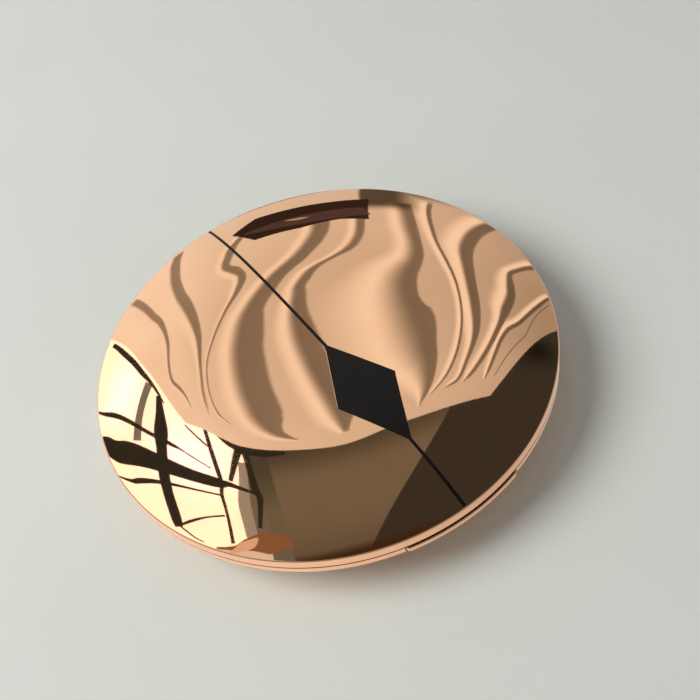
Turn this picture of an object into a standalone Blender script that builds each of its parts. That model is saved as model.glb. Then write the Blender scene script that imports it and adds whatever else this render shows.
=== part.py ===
"""Round powder compact: domed lid with a mirror, concealed rear hinge, push-button latch.

Metres, +Z up. The foot rests on Z = 0, the button faces -Y and the hinge lies at +Y.
"""

import math

import bmesh
import bpy
from mathutils import Matrix

MM = 0.001

# Overall form
DIAMETER = 75.0 * MM
BASE_HEIGHT = 9.0 * MM        # foot to the top of the base rim
PARTING_GAP = 0.2 * MM        # between the base rim and the lid rim
LID_BAND = 1.7 * MM           # upright rim of the lid, with its rounded edge
DOME_RISE = 4.15 * MM         # crown of the lid above its upright rim
CROWN_RADIUS = 600.0 * MM     # curve of the lid's nearly flat middle
CROWN_REACH = 18.0 * MM       # where that middle turns down towards the rim
EDGE_ROUND = 0.4 * MM         # rounded edge between dome and rim
RIM_CHAMFER = 0.12 * MM       # broken edges along the parting line

# Base bowl
BASE_BAND = 0.7 * MM          # upright rim of the base
BASE_WALL = 1.3 * MM
BASE_FLOOR = 1.2 * MM
SHOULDER_ROUND = 1.5 * MM     # turn from the upright rim into the flared side
RIM_FLARE = math.radians(46)  # slope of the side under that turn
FOOT_FLARE = math.radians(30)  # slope of the side where it meets the foot
FOOT_RING = 4.0 * MM          # width of the ring that the compact stands on
FOOT_RECESS = 0.3 * MM
TRAY_LEDGE = 0.8 * MM         # step in the wall that carries the tray

# Tray with the powder well
DECK_DROP = 0.3 * MM          # deck below the base rim
DECK_THICKNESS = 1.0 * MM
DECK_WIDTH = 8.7 * MM         # from the well out to the bowl
DECK_ROUND = 0.35 * MM        # rounded lip of the well
WELL_WALL = 0.9 * MM
WELL_FLOOR = 1.1 * MM
SIDE_GAP = 0.15 * MM          # between nested round pieces
SEAT_GAP = 0.1 * MM           # between stacked pieces

# Powder, its pan and the magnet under it
PAN_CLEARANCE = 0.3 * MM
PAN_SHEET = 0.35 * MM
PAN_DROP = 0.9 * MM           # pan rim below the deck
PAN_CORNER = 0.8 * MM         # drawn corner round the pan's bottom
CAKE_CROWN = 0.3 * MM
CAKE_GROOVE_RADIUS = 21.0 * MM
CAKE_GROOVE_WIDTH = 0.9 * MM
CAKE_GROOVE_DEPTH = 0.25 * MM
MAGNET_DIAMETER = 12.0 * MM
MAGNET_THICKNESS = 1.2 * MM
MAGNET_COVER = 0.5 * MM       # tray floor left above the magnet

# Lid shell, liner and mirror
LID_WALL = 1.0 * MM
BAND_WALL = 1.1 * MM
LINER_FRAME = 8.0 * MM        # liner ring round the mirror
MIRROR_THICKNESS = 0.9 * MM
MIRROR_BEVEL = 0.25 * MM
MIRROR_SINK = 0.1 * MM        # mirror face above the liner's face
PAD_THICKNESS = 0.2 * MM
PAD_MARGIN = 1.5 * MM

# Black inlays of the lid
LOZENGE_CENTRE = 13.6 * MM    # from the middle of the lid towards the front
LOZENGE_LENGTH = 23.0 * MM
LOZENGE_WIDTH = 10.6 * MM
LOZENGE_THICKNESS = 0.35 * MM
LINE_WIDTH = 0.42 * MM
LINE_THICKNESS = 0.25 * MM
INLAY_GAP = 0.05 * MM         # round each inlay
INLAY_BED = 0.1 * MM          # under each inlay
INLAY_SINK = 0.02 * MM        # inlay face below the dome

# Hinge
HINGE_INSET = 2.7 * MM        # axis inside the outline
HINGE_WIDTH = 15.0 * MM
KNUCKLE_RADIUS = 1.25 * MM
LID_KNUCKLE_WIDTH = 6.0 * MM
KNUCKLE_GAP = 0.2 * MM        # between neighbouring knuckles
SWING_GAP = 0.15 * MM         # round a knuckle, for its neighbour to turn
PIN_RADIUS = 0.5 * MM
PIN_CLEARANCE = 0.1 * MM
TAIL_GAP = 0.2 * MM           # round the lid's rear edge as it swings down
BLOCK_WALL = 1.4 * MM         # base material in front of that swing
LID_OPENING = math.radians(120)
STOP_GAP = math.radians(4)    # left between the lid's tail and its stop when fully open

# Push button and latch
BUTTON_WIDTH = 20.0 * MM
BUTTON_DEPTH = 2.2 * MM
BUTTON_HEIGHT = 2.4 * MM
BUTTON_DROP = 0.1 * MM        # top of the button below the base rim
BUTTON_PROUD = 0.3 * MM
BUTTON_ROUND = 0.25 * MM
BUTTON_UPRIGHT = 0.5 * MM     # upright part of the face, above its slope
BUTTON_GAP = 0.15 * MM        # to the notch round it
BUTTON_TRAVEL = 0.8 * MM
WING_REACH = 1.2 * MM         # hold behind the notch's ends
WING_DEPTH = 0.9 * MM
WING_START = 6.0 * MM         # from the middle of the button
TIE_INSET = 0.15 * MM         # wing ties inside the faces of what they tie
WING_GAP = 1.2 * MM           # wings inside the tray's step, clear of the slope below it
LEG_SPACING = 6.6 * MM
LEG_WIDTH = 1.2 * MM
LATCH_CLEARANCE = 0.2 * MM
HOOK_WIDTH = 4.0 * MM
HOOK_THICKNESS = 1.0 * MM
HOOK_NOSE = 0.65 * MM
NOSE_HEIGHT = 0.7 * MM
LATCH_PLAY = 0.15 * MM        # hook's nose below the leaf's lip
LEAF_WIDTH = 8.6 * MM
LEAF_THICKNESS = 0.25 * MM
LIP_LENGTH = 0.65 * MM
LEAF_SEAT_HEIGHT = 4.0 * MM   # post above the base floor that holds the leaf
LEAF_SEAT_DEPTH = 1.2 * MM    # how deep the leaf stands in that post
LEAF_SEAT_WALL = 0.9 * MM

# Smoothness of round shapes
SEGMENTS = 64
SMALL_SEGMENTS = 24
CROWN_STEPS = 2
TURN_STEPS = 6
BOWL_STEPS = 8
ROUND_STEPS = 3
WELD_DISTANCE = 0.0005 * MM   # joins the doubled points that cuts leave
OVERLAP = 0.5 * MM            # how far tools reach into what they cut or join
CLEAR_OF_ALL = 5.0 * MM       # how far tools reach past the object

# Derived: rim, dome and lid
RADIUS = DIAMETER / 2
LID_BOTTOM = BASE_HEIGHT + PARTING_GAP
EDGE_Z = LID_BOTTOM + LID_BAND
CROWN_Z = EDGE_Z + DOME_RISE
EDGE_RADIUS = RADIUS - EDGE_ROUND
CROWN_TILT = math.asin(CROWN_REACH / CROWN_RADIUS)
CROWN_DROP = CROWN_RADIUS * (1 - math.cos(CROWN_TILT))
TURN_RUN = EDGE_RADIUS - CROWN_REACH
TURN_TILT = 2 * math.atan2(DOME_RISE - CROWN_DROP, TURN_RUN) - CROWN_TILT
TURN_RADIUS = TURN_RUN / (math.sin(TURN_TILT) - math.sin(CROWN_TILT))
TURN_CENTRE = (CROWN_REACH - TURN_RADIUS * math.sin(CROWN_TILT),
               CROWN_Z - CROWN_DROP - TURN_RADIUS * math.cos(CROWN_TILT))
EDGE_SLOPE = math.asin((EDGE_RADIUS - TURN_CENTRE[0]) / (TURN_RADIUS - EDGE_ROUND))
EDGE_CENTRE_Z = TURN_CENTRE[1] + (TURN_RADIUS - EDGE_ROUND) * math.cos(EDGE_SLOPE)
DOME_REACH = EDGE_RADIUS + EDGE_ROUND * math.sin(EDGE_SLOPE)
BAND_INNER = RADIUS - BAND_WALL
LINER_RADIUS = BAND_INNER - SIDE_GAP
MIRROR_POCKET = LINER_RADIUS - LINER_FRAME
MIRROR_RADIUS = MIRROR_POCKET - SIDE_GAP
MIRROR_FACE = LID_BOTTOM + MIRROR_SINK
PAD_BOTTOM = MIRROR_FACE + MIRROR_THICKNESS + SEAT_GAP
POCKET_ROOF = PAD_BOTTOM + PAD_THICKNESS + SEAT_GAP

# Derived: base, tray, pan
BOWL_SHOULDER = BASE_HEIGHT - BASE_BAND
SHOULDER_CENTRE = RADIUS - SHOULDER_ROUND
SIDE_START = RIM_FLARE - math.pi / 2
SIDE_END = FOOT_FLARE - math.pi / 2
SIDE_RADIUS = ((BOWL_SHOULDER + SHOULDER_ROUND * math.sin(SIDE_START))
               / (math.cos(FOOT_FLARE) - math.cos(RIM_FLARE)))
SIDE_CENTRE = (SHOULDER_CENTRE - (SIDE_RADIUS - SHOULDER_ROUND) * math.cos(SIDE_START),
               BOWL_SHOULDER - (SIDE_RADIUS - SHOULDER_ROUND) * math.sin(SIDE_START))
FOOT_RADIUS = SIDE_CENTRE[0] + SIDE_RADIUS * math.cos(SIDE_END)
BOWL_INNER = RADIUS - BASE_WALL
DECK_TOP = BASE_HEIGHT - DECK_DROP
DECK_BOTTOM = DECK_TOP - DECK_THICKNESS
LEDGE_Z = DECK_BOTTOM - SEAT_GAP
LEDGE_RADIUS = BOWL_INNER - TRAY_LEDGE
INNER_SIDE = SIDE_RADIUS - BASE_WALL
INNER_START = -math.acos((LEDGE_RADIUS - SIDE_CENTRE[0]) / INNER_SIDE)
INNER_END = math.asin((BASE_FLOOR - SIDE_CENTRE[1]) / INNER_SIDE)
TRAY_RADIUS = BOWL_INNER - SIDE_GAP
WELL_RADIUS = TRAY_RADIUS - DECK_WIDTH
WELL_OUTER = WELL_RADIUS + WELL_WALL
MAGNET_BOTTOM = BASE_FLOOR + SEAT_GAP
MAGNET_TOP = MAGNET_BOTTOM + MAGNET_THICKNESS
WELL_BOTTOM = MAGNET_TOP + SEAT_GAP + MAGNET_COVER
PAN_BOTTOM = WELL_BOTTOM + SEAT_GAP
PAN_RADIUS = WELL_RADIUS - PAN_CLEARANCE
PAN_TOP = DECK_TOP - PAN_DROP
CAKE_BOTTOM = PAN_BOTTOM + PAN_SHEET + SEAT_GAP
CAKE_RADIUS = PAN_RADIUS - PAN_SHEET - SEAT_GAP

# Derived: hinge
HINGE_Y = RADIUS - HINGE_INSET
HINGE_Z = BASE_HEIGHT + PARTING_GAP / 2
SWING_RADIUS = math.hypot(HINGE_INSET, EDGE_Z - HINGE_Z) + TAIL_GAP
SWING_HALF = math.sqrt(RADIUS ** 2 - HINGE_Y ** 2) + 2 * TAIL_GAP
BLOCK_HALF = SWING_HALF + BLOCK_WALL
BLOCK_Y = HINGE_Y - SWING_RADIUS - BLOCK_WALL
BASE_KNUCKLE_START = LID_KNUCKLE_WIDTH / 2 + KNUCKLE_GAP
KNUCKLE_CLEAR = KNUCKLE_RADIUS + SWING_GAP
WEB_ANGLE = math.tau - LID_OPENING - STOP_GAP

# Derived: latch, from the button's back inwards and from the deck down
BUTTON_BACK = RADIUS - BUTTON_DEPTH
BUTTON_TOP = BASE_HEIGHT - BUTTON_DROP
BUTTON_BOTTOM = BUTTON_TOP - BUTTON_HEIGHT
BUTTON_HALF = BUTTON_WIDTH / 2
NOTCH_HALF = BUTTON_HALF + BUTTON_GAP
WING_HALF = NOTCH_HALF + WING_REACH
TIE_HALF = BUTTON_HALF - TIE_INSET
WING_OUTER = LEDGE_RADIUS - WING_GAP
WING_TOP = DECK_BOTTOM - LATCH_CLEARANCE
HOOK_FRONT = -(BUTTON_BACK - BUTTON_TRAVEL - LATCH_CLEARANCE)
HOOK_BACK = HOOK_FRONT + HOOK_THICKNESS
NOSE_TIP = HOOK_BACK + HOOK_NOSE
LEAF_FRONT = NOSE_TIP + LATCH_CLEARANCE + SEAT_GAP
LEAF_BACK = LEAF_FRONT + LEAF_THICKNESS
LEG_END = LEAF_FRONT - LATCH_CLEARANCE
LIP_TOP = DECK_BOTTOM - SEAT_GAP
LIP_BOTTOM = LIP_TOP - LEAF_THICKNESS
NOSE_TOP = LIP_BOTTOM - LATCH_PLAY
HOOK_BOTTOM = NOSE_TOP - NOSE_HEIGHT
LEG_TOP = NOSE_TOP
LEAF_SEAT_TOP = BASE_FLOOR + LEAF_SEAT_HEIGHT
LEAF_BOTTOM = LEAF_SEAT_TOP - LEAF_SEAT_DEPTH


def clear_scene():
    for obj in list(bpy.data.objects):
        bpy.data.objects.remove(obj, do_unlink=True)


def new_collection(name):
    collection = bpy.data.collections.new(name)
    bpy.context.scene.collection.children.link(collection)
    return collection


clear_scene()
PARTS = new_collection("powder_compact")
TOOLS = new_collection("cutters")


def material(name, colour, roughness, metallic):
    made = bpy.data.materials.new(name)
    made.use_nodes = True
    shader = made.node_tree.nodes["Principled BSDF"]
    shader.inputs["Base Color"].default_value = (*colour, 1.0)
    shader.inputs["Roughness"].default_value = roughness
    shader.inputs["Metallic"].default_value = metallic
    return made


ROSE_GOLD = material("rose_gold", (0.86, 0.55, 0.37), 0.06, 1.0)
BLACK_ENAMEL = material("black_enamel", (0.012, 0.012, 0.013), 0.35, 0.0)
LINER_PLASTIC = material("liner_plastic", (0.80, 0.50, 0.34), 0.30, 0.6)
MIRROR_GLASS = material("mirror_glass", (0.92, 0.93, 0.94), 0.02, 1.0)
ADHESIVE = material("adhesive", (0.82, 0.82, 0.80), 0.80, 0.0)
TINPLATE = material("tinplate", (0.70, 0.70, 0.71), 0.25, 1.0)
POWDER = material("powder", (0.80, 0.60, 0.46), 0.90, 0.0)
MAGNET = material("magnet", (0.45, 0.45, 0.46), 0.35, 1.0)
SPRING_STEEL = material("spring_steel", (0.60, 0.60, 0.62), 0.25, 1.0)


def place(name, build, collection):
    """Store a bmesh as an object, as a part or as a wire-drawn tool."""
    bmesh.ops.recalc_face_normals(build, faces=build.faces)
    mesh = bpy.data.meshes.new(name)
    build.to_mesh(mesh)
    build.free()
    obj = bpy.data.objects.new(name, mesh)
    collection.objects.link(obj)
    if collection is TOOLS:
        obj.hide_render = True
        obj.display_type = "WIRE"
    return obj


def turned(name, profile, collection=TOOLS, closed=False):
    """Turn (radius, height) points, which run down the outer side, about the Z axis."""
    build = bmesh.new()
    points = [build.verts.new((radius, 0.0, height)) for radius, height in profile]
    for first, second in zip(points, points[1:]):
        build.edges.new((first, second))
    if closed:
        build.edges.new((points[-1], points[0]))
    obj = place(name, build, collection)
    screw = obj.modifiers.new("turn", "SCREW")
    screw.angle = math.tau
    screw.steps = SEGMENTS
    screw.render_steps = SEGMENTS
    screw.use_merge_vertices = True
    screw.merge_threshold = WELD_DISTANCE
    return obj


def extruded(name, outline, low, high, axis="Z", collection=TOOLS):
    """Extrude a flat outline along Z (points x, y) or along X (points y, z)."""
    build = bmesh.new()
    if axis == "Z":
        corners = [(u, v, low) for u, v in outline]
        shift = (0.0, 0.0, high - low)
    else:
        corners = [(low, u, v) for u, v in outline]
        shift = (high - low, 0.0, 0.0)
    face = build.faces.new([build.verts.new(corner) for corner in corners])
    grown = bmesh.ops.extrude_face_region(build, geom=[face])["geom"]
    tops = [item for item in grown if isinstance(item, bmesh.types.BMVert)]
    bmesh.ops.translate(build, verts=tops, vec=shift)
    return place(name, build, collection)


def box(name, low, high, collection=TOOLS):
    build = bmesh.new()
    bmesh.ops.create_cube(build, size=1.0)
    size = [b - a for a, b in zip(low, high)]
    middle = [(a + b) / 2 for a, b in zip(low, high)]
    bmesh.ops.scale(build, vec=size, verts=build.verts)
    bmesh.ops.translate(build, vec=middle, verts=build.verts)
    return place(name, build, collection)


def hinge_rod(name, radius, low, high, collection=TOOLS):
    """A cylinder along the hinge axis between two X positions."""
    build = bmesh.new()
    bmesh.ops.create_cone(build, cap_ends=True, segments=SMALL_SEGMENTS,
                          radius1=radius, radius2=radius, depth=high - low)
    turn = Matrix.Rotation(math.pi / 2, 4, "Y")
    shift = Matrix.Translation(((low + high) / 2, HINGE_Y, HINGE_Z))
    bmesh.ops.transform(build, matrix=shift @ turn, verts=build.verts)
    return place(name, build, collection)


def combine(obj, operation, *tools, solver="EXACT"):
    for tool in tools:
        step = obj.modifiers.new(tool.name, "BOOLEAN")
        step.operation = operation
        step.solver = solver
        step.object = tool
    return obj


def finish(obj, surface, pivot=None):
    """Weld a part's doubled points, and give it its material and its parent."""
    weld = obj.modifiers.new("weld", "WELD")
    weld.merge_threshold = WELD_DISTANCE
    obj.data.materials.append(surface)
    if pivot is not None:
        obj.parent = pivot
        obj.matrix_parent_inverse = pivot.matrix_world.inverted()
    return obj


def pivot_empty(name, place_at):
    empty = bpy.data.objects.new(name, None)
    empty.location = place_at
    PARTS.objects.link(empty)
    bpy.context.view_layer.update()
    return empty


LID_PIVOT = pivot_empty("lid_pivot", (0.0, HINGE_Y, HINGE_Z))
BUTTON_PIVOT = pivot_empty("button_pivot", (0.0, -RADIUS, (BUTTON_TOP + BUTTON_BOTTOM) / 2))


def arc(centre, radius, start, end, steps):
    """Points of an arc; angles count from straight out towards straight up."""
    points = []
    for step in range(steps + 1):
        angle = start + (end - start) * step / steps
        points.append((centre[0] + radius * math.cos(angle), centre[1] + radius * math.sin(angle)))
    return points


def dome_height(radius):
    """Height of the outer dome: a nearly flat crown, then an arc down to the rim."""
    if radius <= CROWN_REACH:
        return CROWN_Z - CROWN_RADIUS + math.sqrt(CROWN_RADIUS ** 2 - radius ** 2)
    return TURN_CENTRE[1] + math.sqrt(TURN_RADIUS ** 2 - (radius - TURN_CENTRE[0]) ** 2)


def dome(offset, reach):
    """Points of the dome, or of a layer at an offset under it, from the axis out to a radius."""
    rings = [CROWN_REACH * step / CROWN_STEPS for step in range(CROWN_STEPS)]
    for step in range(TURN_STEPS + 1):
        rings.append(CROWN_REACH + (reach - CROWN_REACH) * step / TURN_STEPS)
    return [(radius, dome_height(radius) - offset) for radius in rings]


def front_block(name, half_width, low, high):
    """A block from the middle of the compact out past its front."""
    return box(name, (-half_width, -RADIUS - CLEAR_OF_ALL, low), (half_width, 0.0, high))


def ring_tool(name, inner, outer, low, high):
    return turned(name, [(inner, high), (outer, high), (outer, low), (inner, low)], closed=True)


def lozenge_outline(grow):
    """The lozenge seen from above, with its sides moved out by grow."""
    half_length = LOZENGE_LENGTH / 2
    half_width = LOZENGE_WIDTH / 2
    slant = math.hypot(half_length, half_width)
    long = half_length + grow * slant / half_width
    wide = half_width + grow * slant / half_length
    return [(0.0, -LOZENGE_CENTRE - long), (wide, -LOZENGE_CENTRE),
            (0.0, -LOZENGE_CENTRE + long), (-wide, -LOZENGE_CENTRE)]


def line_outline(front, rear, grow):
    half = LINE_WIDTH / 2 + grow
    return [(-half, front), (half, front), (half, rear), (-half, rear)]


def inlay_spans():
    """Outlines of the three inlays, each with its thickness and the outline of its groove."""
    meet = LOZENGE_WIDTH / LOZENGE_LENGTH
    tip = LOZENGE_LENGTH / 2 - LINE_WIDTH / 2 / meet
    gap = 2 * INLAY_GAP / meet
    front = (-EDGE_RADIUS, -LOZENGE_CENTRE - tip - gap)
    rear = (-LOZENGE_CENTRE + tip + gap, EDGE_RADIUS)
    return {
        "lozenge_inlay": (lozenge_outline(0.0), lozenge_outline(INLAY_GAP), LOZENGE_THICKNESS),
        "front_line_inlay": (line_outline(*front, 0.0),
                             line_outline(front[0] - INLAY_GAP, front[1] + gap, INLAY_GAP),
                             LINE_THICKNESS),
        "rear_line_inlay": (line_outline(*rear, 0.0),
                            line_outline(rear[0] - gap, rear[1] + INLAY_GAP, INLAY_GAP),
                            LINE_THICKNESS),
    }


def dome_layer(name, top_offset, bottom_offset):
    """A curved layer of the lid between two depths under its outer dome."""
    top = dome(top_offset, RADIUS)
    bottom = dome(bottom_offset, RADIUS)
    return turned(name, top + bottom[::-1])


def make_inlays():
    grooves = []
    for name, (outline, groove_outline, thickness) in inlay_spans().items():
        depth = INLAY_SINK + thickness
        inlay = extruded(name, outline, BASE_HEIGHT, CROWN_Z + OVERLAP, collection=PARTS)
        combine(inlay, "INTERSECT", dome_layer(name + "_layer", INLAY_SINK, depth))
        finish(inlay, BLACK_ENAMEL, LID_PIVOT)
        groove = extruded(name + "_groove", groove_outline, BASE_HEIGHT, CROWN_Z + OVERLAP)
        combine(groove, "INTERSECT",
                dome_layer(name + "_bed", -CLEAR_OF_ALL, depth + INLAY_BED))
        grooves.append(groove)
    return grooves


def make_lid_shell(grooves):
    edge = arc((EDGE_RADIUS, EDGE_CENTRE_Z), EDGE_ROUND, math.pi / 2 - EDGE_SLOPE, 0.0, ROUND_STEPS)
    rim = [(RADIUS, LID_BOTTOM + RIM_CHAMFER), (RADIUS - RIM_CHAMFER, LID_BOTTOM),
           (BAND_INNER, LID_BOTTOM)]
    inner = dome(LID_WALL, BAND_INNER)[::-1]
    shell = turned("lid_shell", dome(0.0, DOME_REACH) + edge[1:] + rim + inner, PARTS)
    reach = HINGE_WIDTH / 2 + KNUCKLE_GAP
    room = hinge_rod("shell_knuckle_room", KNUCKLE_CLEAR, -reach, reach)
    # The exact solver leaves open slivers where the grooves cross the dome's facets
    combine(shell, "DIFFERENCE", *grooves, room, solver="MANIFOLD")
    finish(shell, ROSE_GOLD, LID_PIVOT)


def hook_tool():
    """The catch hook that hangs from the liner, with its nose pointing inwards."""
    root = LID_BOTTOM + OVERLAP
    outline = [(HOOK_FRONT, root), (HOOK_FRONT, HOOK_BOTTOM), (HOOK_BACK, HOOK_BOTTOM),
               (NOSE_TIP, (NOSE_TOP + HOOK_BOTTOM) / 2), (NOSE_TIP, NOSE_TOP),
               (HOOK_BACK, NOSE_TOP), (HOOK_BACK, root)]
    return extruded("lid_hook", outline, -HOOK_WIDTH / 2, HOOK_WIDTH / 2, axis="X")


def make_lid_liner():
    top = dome(LID_WALL + SIDE_GAP, LINER_RADIUS)
    frame = [(LINER_RADIUS, LID_BOTTOM), (MIRROR_POCKET + MIRROR_SINK, LID_BOTTOM),
             (MIRROR_POCKET, MIRROR_FACE), (MIRROR_POCKET, POCKET_ROOF), (0.0, POCKET_ROOF)]
    liner = turned("lid_liner", top + frame, PARTS)
    end = HINGE_WIDTH / 2 + KNUCKLE_GAP
    start = LID_KNUCKLE_WIDTH / 2
    combine(liner, "DIFFERENCE",
            hinge_rod("liner_knuckle_room_left", KNUCKLE_CLEAR, -end, -start),
            hinge_rod("liner_knuckle_room_right", KNUCKLE_CLEAR, start, end))
    combine(liner, "UNION", hinge_rod("lid_knuckle", KNUCKLE_RADIUS, -start, start), hook_tool())
    combine(liner, "DIFFERENCE", hinge_rod("liner_bore", PIN_RADIUS + PIN_CLEARANCE, -end, end))
    finish(liner, LINER_PLASTIC, LID_PIVOT)


def make_mirror():
    top = MIRROR_FACE + MIRROR_THICKNESS
    profile = [(0.0, top), (MIRROR_RADIUS, top), (MIRROR_RADIUS, MIRROR_FACE + MIRROR_BEVEL),
               (MIRROR_RADIUS - MIRROR_BEVEL, MIRROR_FACE), (0.0, MIRROR_FACE)]
    finish(turned("mirror", profile, PARTS), MIRROR_GLASS, LID_PIVOT)
    radius = MIRROR_RADIUS - PAD_MARGIN
    top = PAD_BOTTOM + PAD_THICKNESS
    pad = turned("mirror_pad", [(0.0, top), (radius, top), (radius, PAD_BOTTOM), (0.0, PAD_BOTTOM)],
                 PARTS)
    finish(pad, ADHESIVE, LID_PIVOT)


def base_outline():
    """Outer side of the bowl from the parting line down to the foot and in to the axis."""
    turn = arc((SHOULDER_CENTRE, BOWL_SHOULDER), SHOULDER_ROUND, 0.0, SIDE_START, ROUND_STEPS)
    side = arc(SIDE_CENTRE, SIDE_RADIUS, SIDE_START, SIDE_END, BOWL_STEPS)
    recess = FOOT_RADIUS - FOOT_RING
    return [(0.0, BASE_HEIGHT), (RADIUS - RIM_CHAMFER, BASE_HEIGHT),
            (RADIUS, BASE_HEIGHT - RIM_CHAMFER), *turn, *side[1:],
            (recess, 0.0), (recess - FOOT_RECESS, FOOT_RECESS), (0.0, FOOT_RECESS)]


def bowl_radius(height):
    """Outer radius of the flared side at a height."""
    return SIDE_CENTRE[0] + math.sqrt(SIDE_RADIUS ** 2 - (height - SIDE_CENTRE[1]) ** 2)


def leaf_seat(name, grow, low, high):
    """A block round the foot of the latch leaf, grown by a wall or by its clearance."""
    half = LEAF_WIDTH / 2 + grow
    return box(name, (-half, LEAF_FRONT - grow, low), (half, LEAF_BACK + grow, high))


def base_cavity():
    """The room inside the bowl, less the hinge block and the post of the latch leaf."""
    side = arc(SIDE_CENTRE, INNER_SIDE, INNER_START, INNER_END, BOWL_STEPS)
    above = BASE_HEIGHT + CLEAR_OF_ALL
    cavity = turned("base_cavity", [(0.0, above), (BOWL_INNER, above), (BOWL_INNER, LEDGE_Z),
                                    (LEDGE_RADIUS, LEDGE_Z), *side, (0.0, BASE_FLOOR)])
    block = box("hinge_block", (-BLOCK_HALF, BLOCK_Y, -CLEAR_OF_ALL),
                (BLOCK_HALF, RADIUS + CLEAR_OF_ALL, above + CLEAR_OF_ALL))
    post = leaf_seat("leaf_post", LEAF_SEAT_WALL, -CLEAR_OF_ALL, LEAF_SEAT_TOP)
    return combine(cavity, "DIFFERENCE", block, post)


def base_knuckle(side):
    """A base knuckle on one side, with the web that ties it to the hinge block."""
    low, high = sorted((side * BASE_KNUCKLE_START, side * HINGE_WIDTH / 2))
    label = "right" if side > 0 else "left"
    barrel = hinge_rod("base_knuckle_" + label, KNUCKLE_RADIUS, low, high)
    reach = SWING_RADIUS + OVERLAP
    foot = (HINGE_Y + reach * math.cos(WEB_ANGLE), HINGE_Z + reach * math.sin(WEB_ANGLE))
    top = BASE_HEIGHT - RIM_CHAMFER
    outline = [(HINGE_Y, HINGE_Z), (HINGE_Y - KNUCKLE_RADIUS / 2, top),
               (HINGE_Y - reach, top), foot]
    web = extruded("knuckle_web_" + label, outline, low, high, axis="X")
    return combine(barrel, "UNION", web)


def make_base_shell():
    shell = turned("base_shell", base_outline(), PARTS)
    combine(shell, "DIFFERENCE", base_cavity(),
            hinge_rod("lid_tail_room", SWING_RADIUS, -SWING_HALF, SWING_HALF))
    # The exact solver leaves open slivers where the webs meet the round of that room
    combine(shell, "UNION", base_knuckle(-1), base_knuckle(1), solver="MANIFOLD")
    end = HINGE_WIDTH / 2 + CLEAR_OF_ALL
    notch = front_block("button_notch", NOTCH_HALF, BUTTON_BOTTOM - BUTTON_GAP,
                        BASE_HEIGHT + CLEAR_OF_ALL)
    combine(notch, "INTERSECT",
            ring_tool("notch_ring", WING_OUTER - WING_DEPTH, RADIUS + CLEAR_OF_ALL / 2,
                      BASE_FLOOR, BASE_HEIGHT + CLEAR_OF_ALL / 2))
    combine(shell, "DIFFERENCE",
            hinge_rod("base_bore", PIN_RADIUS + PIN_CLEARANCE, -end, end), notch,
            leaf_seat("leaf_slot", SEAT_GAP, LEAF_BOTTOM - SEAT_GAP, BASE_HEIGHT))
    finish(shell, ROSE_GOLD)


def make_base_tray():
    lip = arc((WELL_RADIUS + DECK_ROUND, DECK_TOP - DECK_ROUND), DECK_ROUND,
              math.pi, math.pi / 2, ROUND_STEPS)
    pocket = MAGNET_DIAMETER / 2 + SIDE_GAP
    floor = WELL_BOTTOM - WELL_FLOOR
    profile = [(0.0, WELL_BOTTOM), (WELL_RADIUS, WELL_BOTTOM), *lip,
               (TRAY_RADIUS, DECK_TOP), (TRAY_RADIUS, DECK_BOTTOM), (WELL_OUTER, DECK_BOTTOM),
               (WELL_OUTER, floor), (pocket, floor), (pocket, MAGNET_TOP + SEAT_GAP),
               (0.0, MAGNET_TOP + SEAT_GAP)]
    tray = turned("base_tray", profile, PARTS)
    above = BASE_HEIGHT + CLEAR_OF_ALL
    hinge_cut = box("tray_hinge_cut", (-BLOCK_HALF - SIDE_GAP, BLOCK_Y - SIDE_GAP, 0.0),
                    (BLOCK_HALF + SIDE_GAP, RADIUS + CLEAR_OF_ALL, above))
    front_cut = front_block("tray_button_cut", WING_HALF, BASE_FLOOR, above)
    combine(front_cut, "INTERSECT",
            ring_tool("tray_button_ring", -HOOK_FRONT, RADIUS, BASE_FLOOR + OVERLAP,
                      above - OVERLAP))
    half = HOOK_WIDTH / 2 + 2 * LATCH_CLEARANCE
    hook_cut = box("tray_hook_cut", (-half, HOOK_FRONT - OVERLAP, DECK_BOTTOM - OVERLAP),
                   (half, LEAF_BACK + LATCH_CLEARANCE, above))
    # The exact solver leaves open slivers where the cuts graze the deck's facets
    combine(tray, "DIFFERENCE", hinge_cut, front_cut, hook_cut, solver="MANIFOLD")
    finish(tray, LINER_PLASTIC)


def make_powder():
    centre = (PAN_RADIUS - PAN_CORNER, PAN_BOTTOM + PAN_CORNER)
    corner = arc(centre, PAN_CORNER, 0.0, -math.pi / 2, ROUND_STEPS)
    inner_corner = arc(centre, PAN_CORNER - PAN_SHEET, -math.pi / 2, 0.0, ROUND_STEPS)
    pan = [(0.0, PAN_BOTTOM + PAN_SHEET), *inner_corner, (PAN_RADIUS - PAN_SHEET, PAN_TOP),
           (PAN_RADIUS, PAN_TOP), *corner, (0.0, PAN_BOTTOM)]
    finish(turned("powder_pan", pan, PARTS), TINPLATE)

    def crown(radius):
        return PAN_TOP + CAKE_CROWN * (1 - (radius / CAKE_RADIUS) ** 2)

    groove_in = CAKE_GROOVE_RADIUS - CAKE_GROOVE_WIDTH / 2
    groove_out = CAKE_GROOVE_RADIUS + CAKE_GROOVE_WIDTH / 2
    rings = [step * groove_in / ROUND_STEPS for step in range(ROUND_STEPS + 1)]
    face = [(radius, crown(radius)) for radius in rings]
    face.append((CAKE_GROOVE_RADIUS, crown(CAKE_GROOVE_RADIUS) - CAKE_GROOVE_DEPTH))
    face.append((groove_out, crown(groove_out)))
    cake = [*face, (CAKE_RADIUS, PAN_TOP), (CAKE_RADIUS, CAKE_BOTTOM + PAN_CORNER),
            (CAKE_RADIUS - PAN_CORNER, CAKE_BOTTOM), (0.0, CAKE_BOTTOM)]
    finish(turned("powder_cake", cake, PARTS), POWDER)


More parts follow.
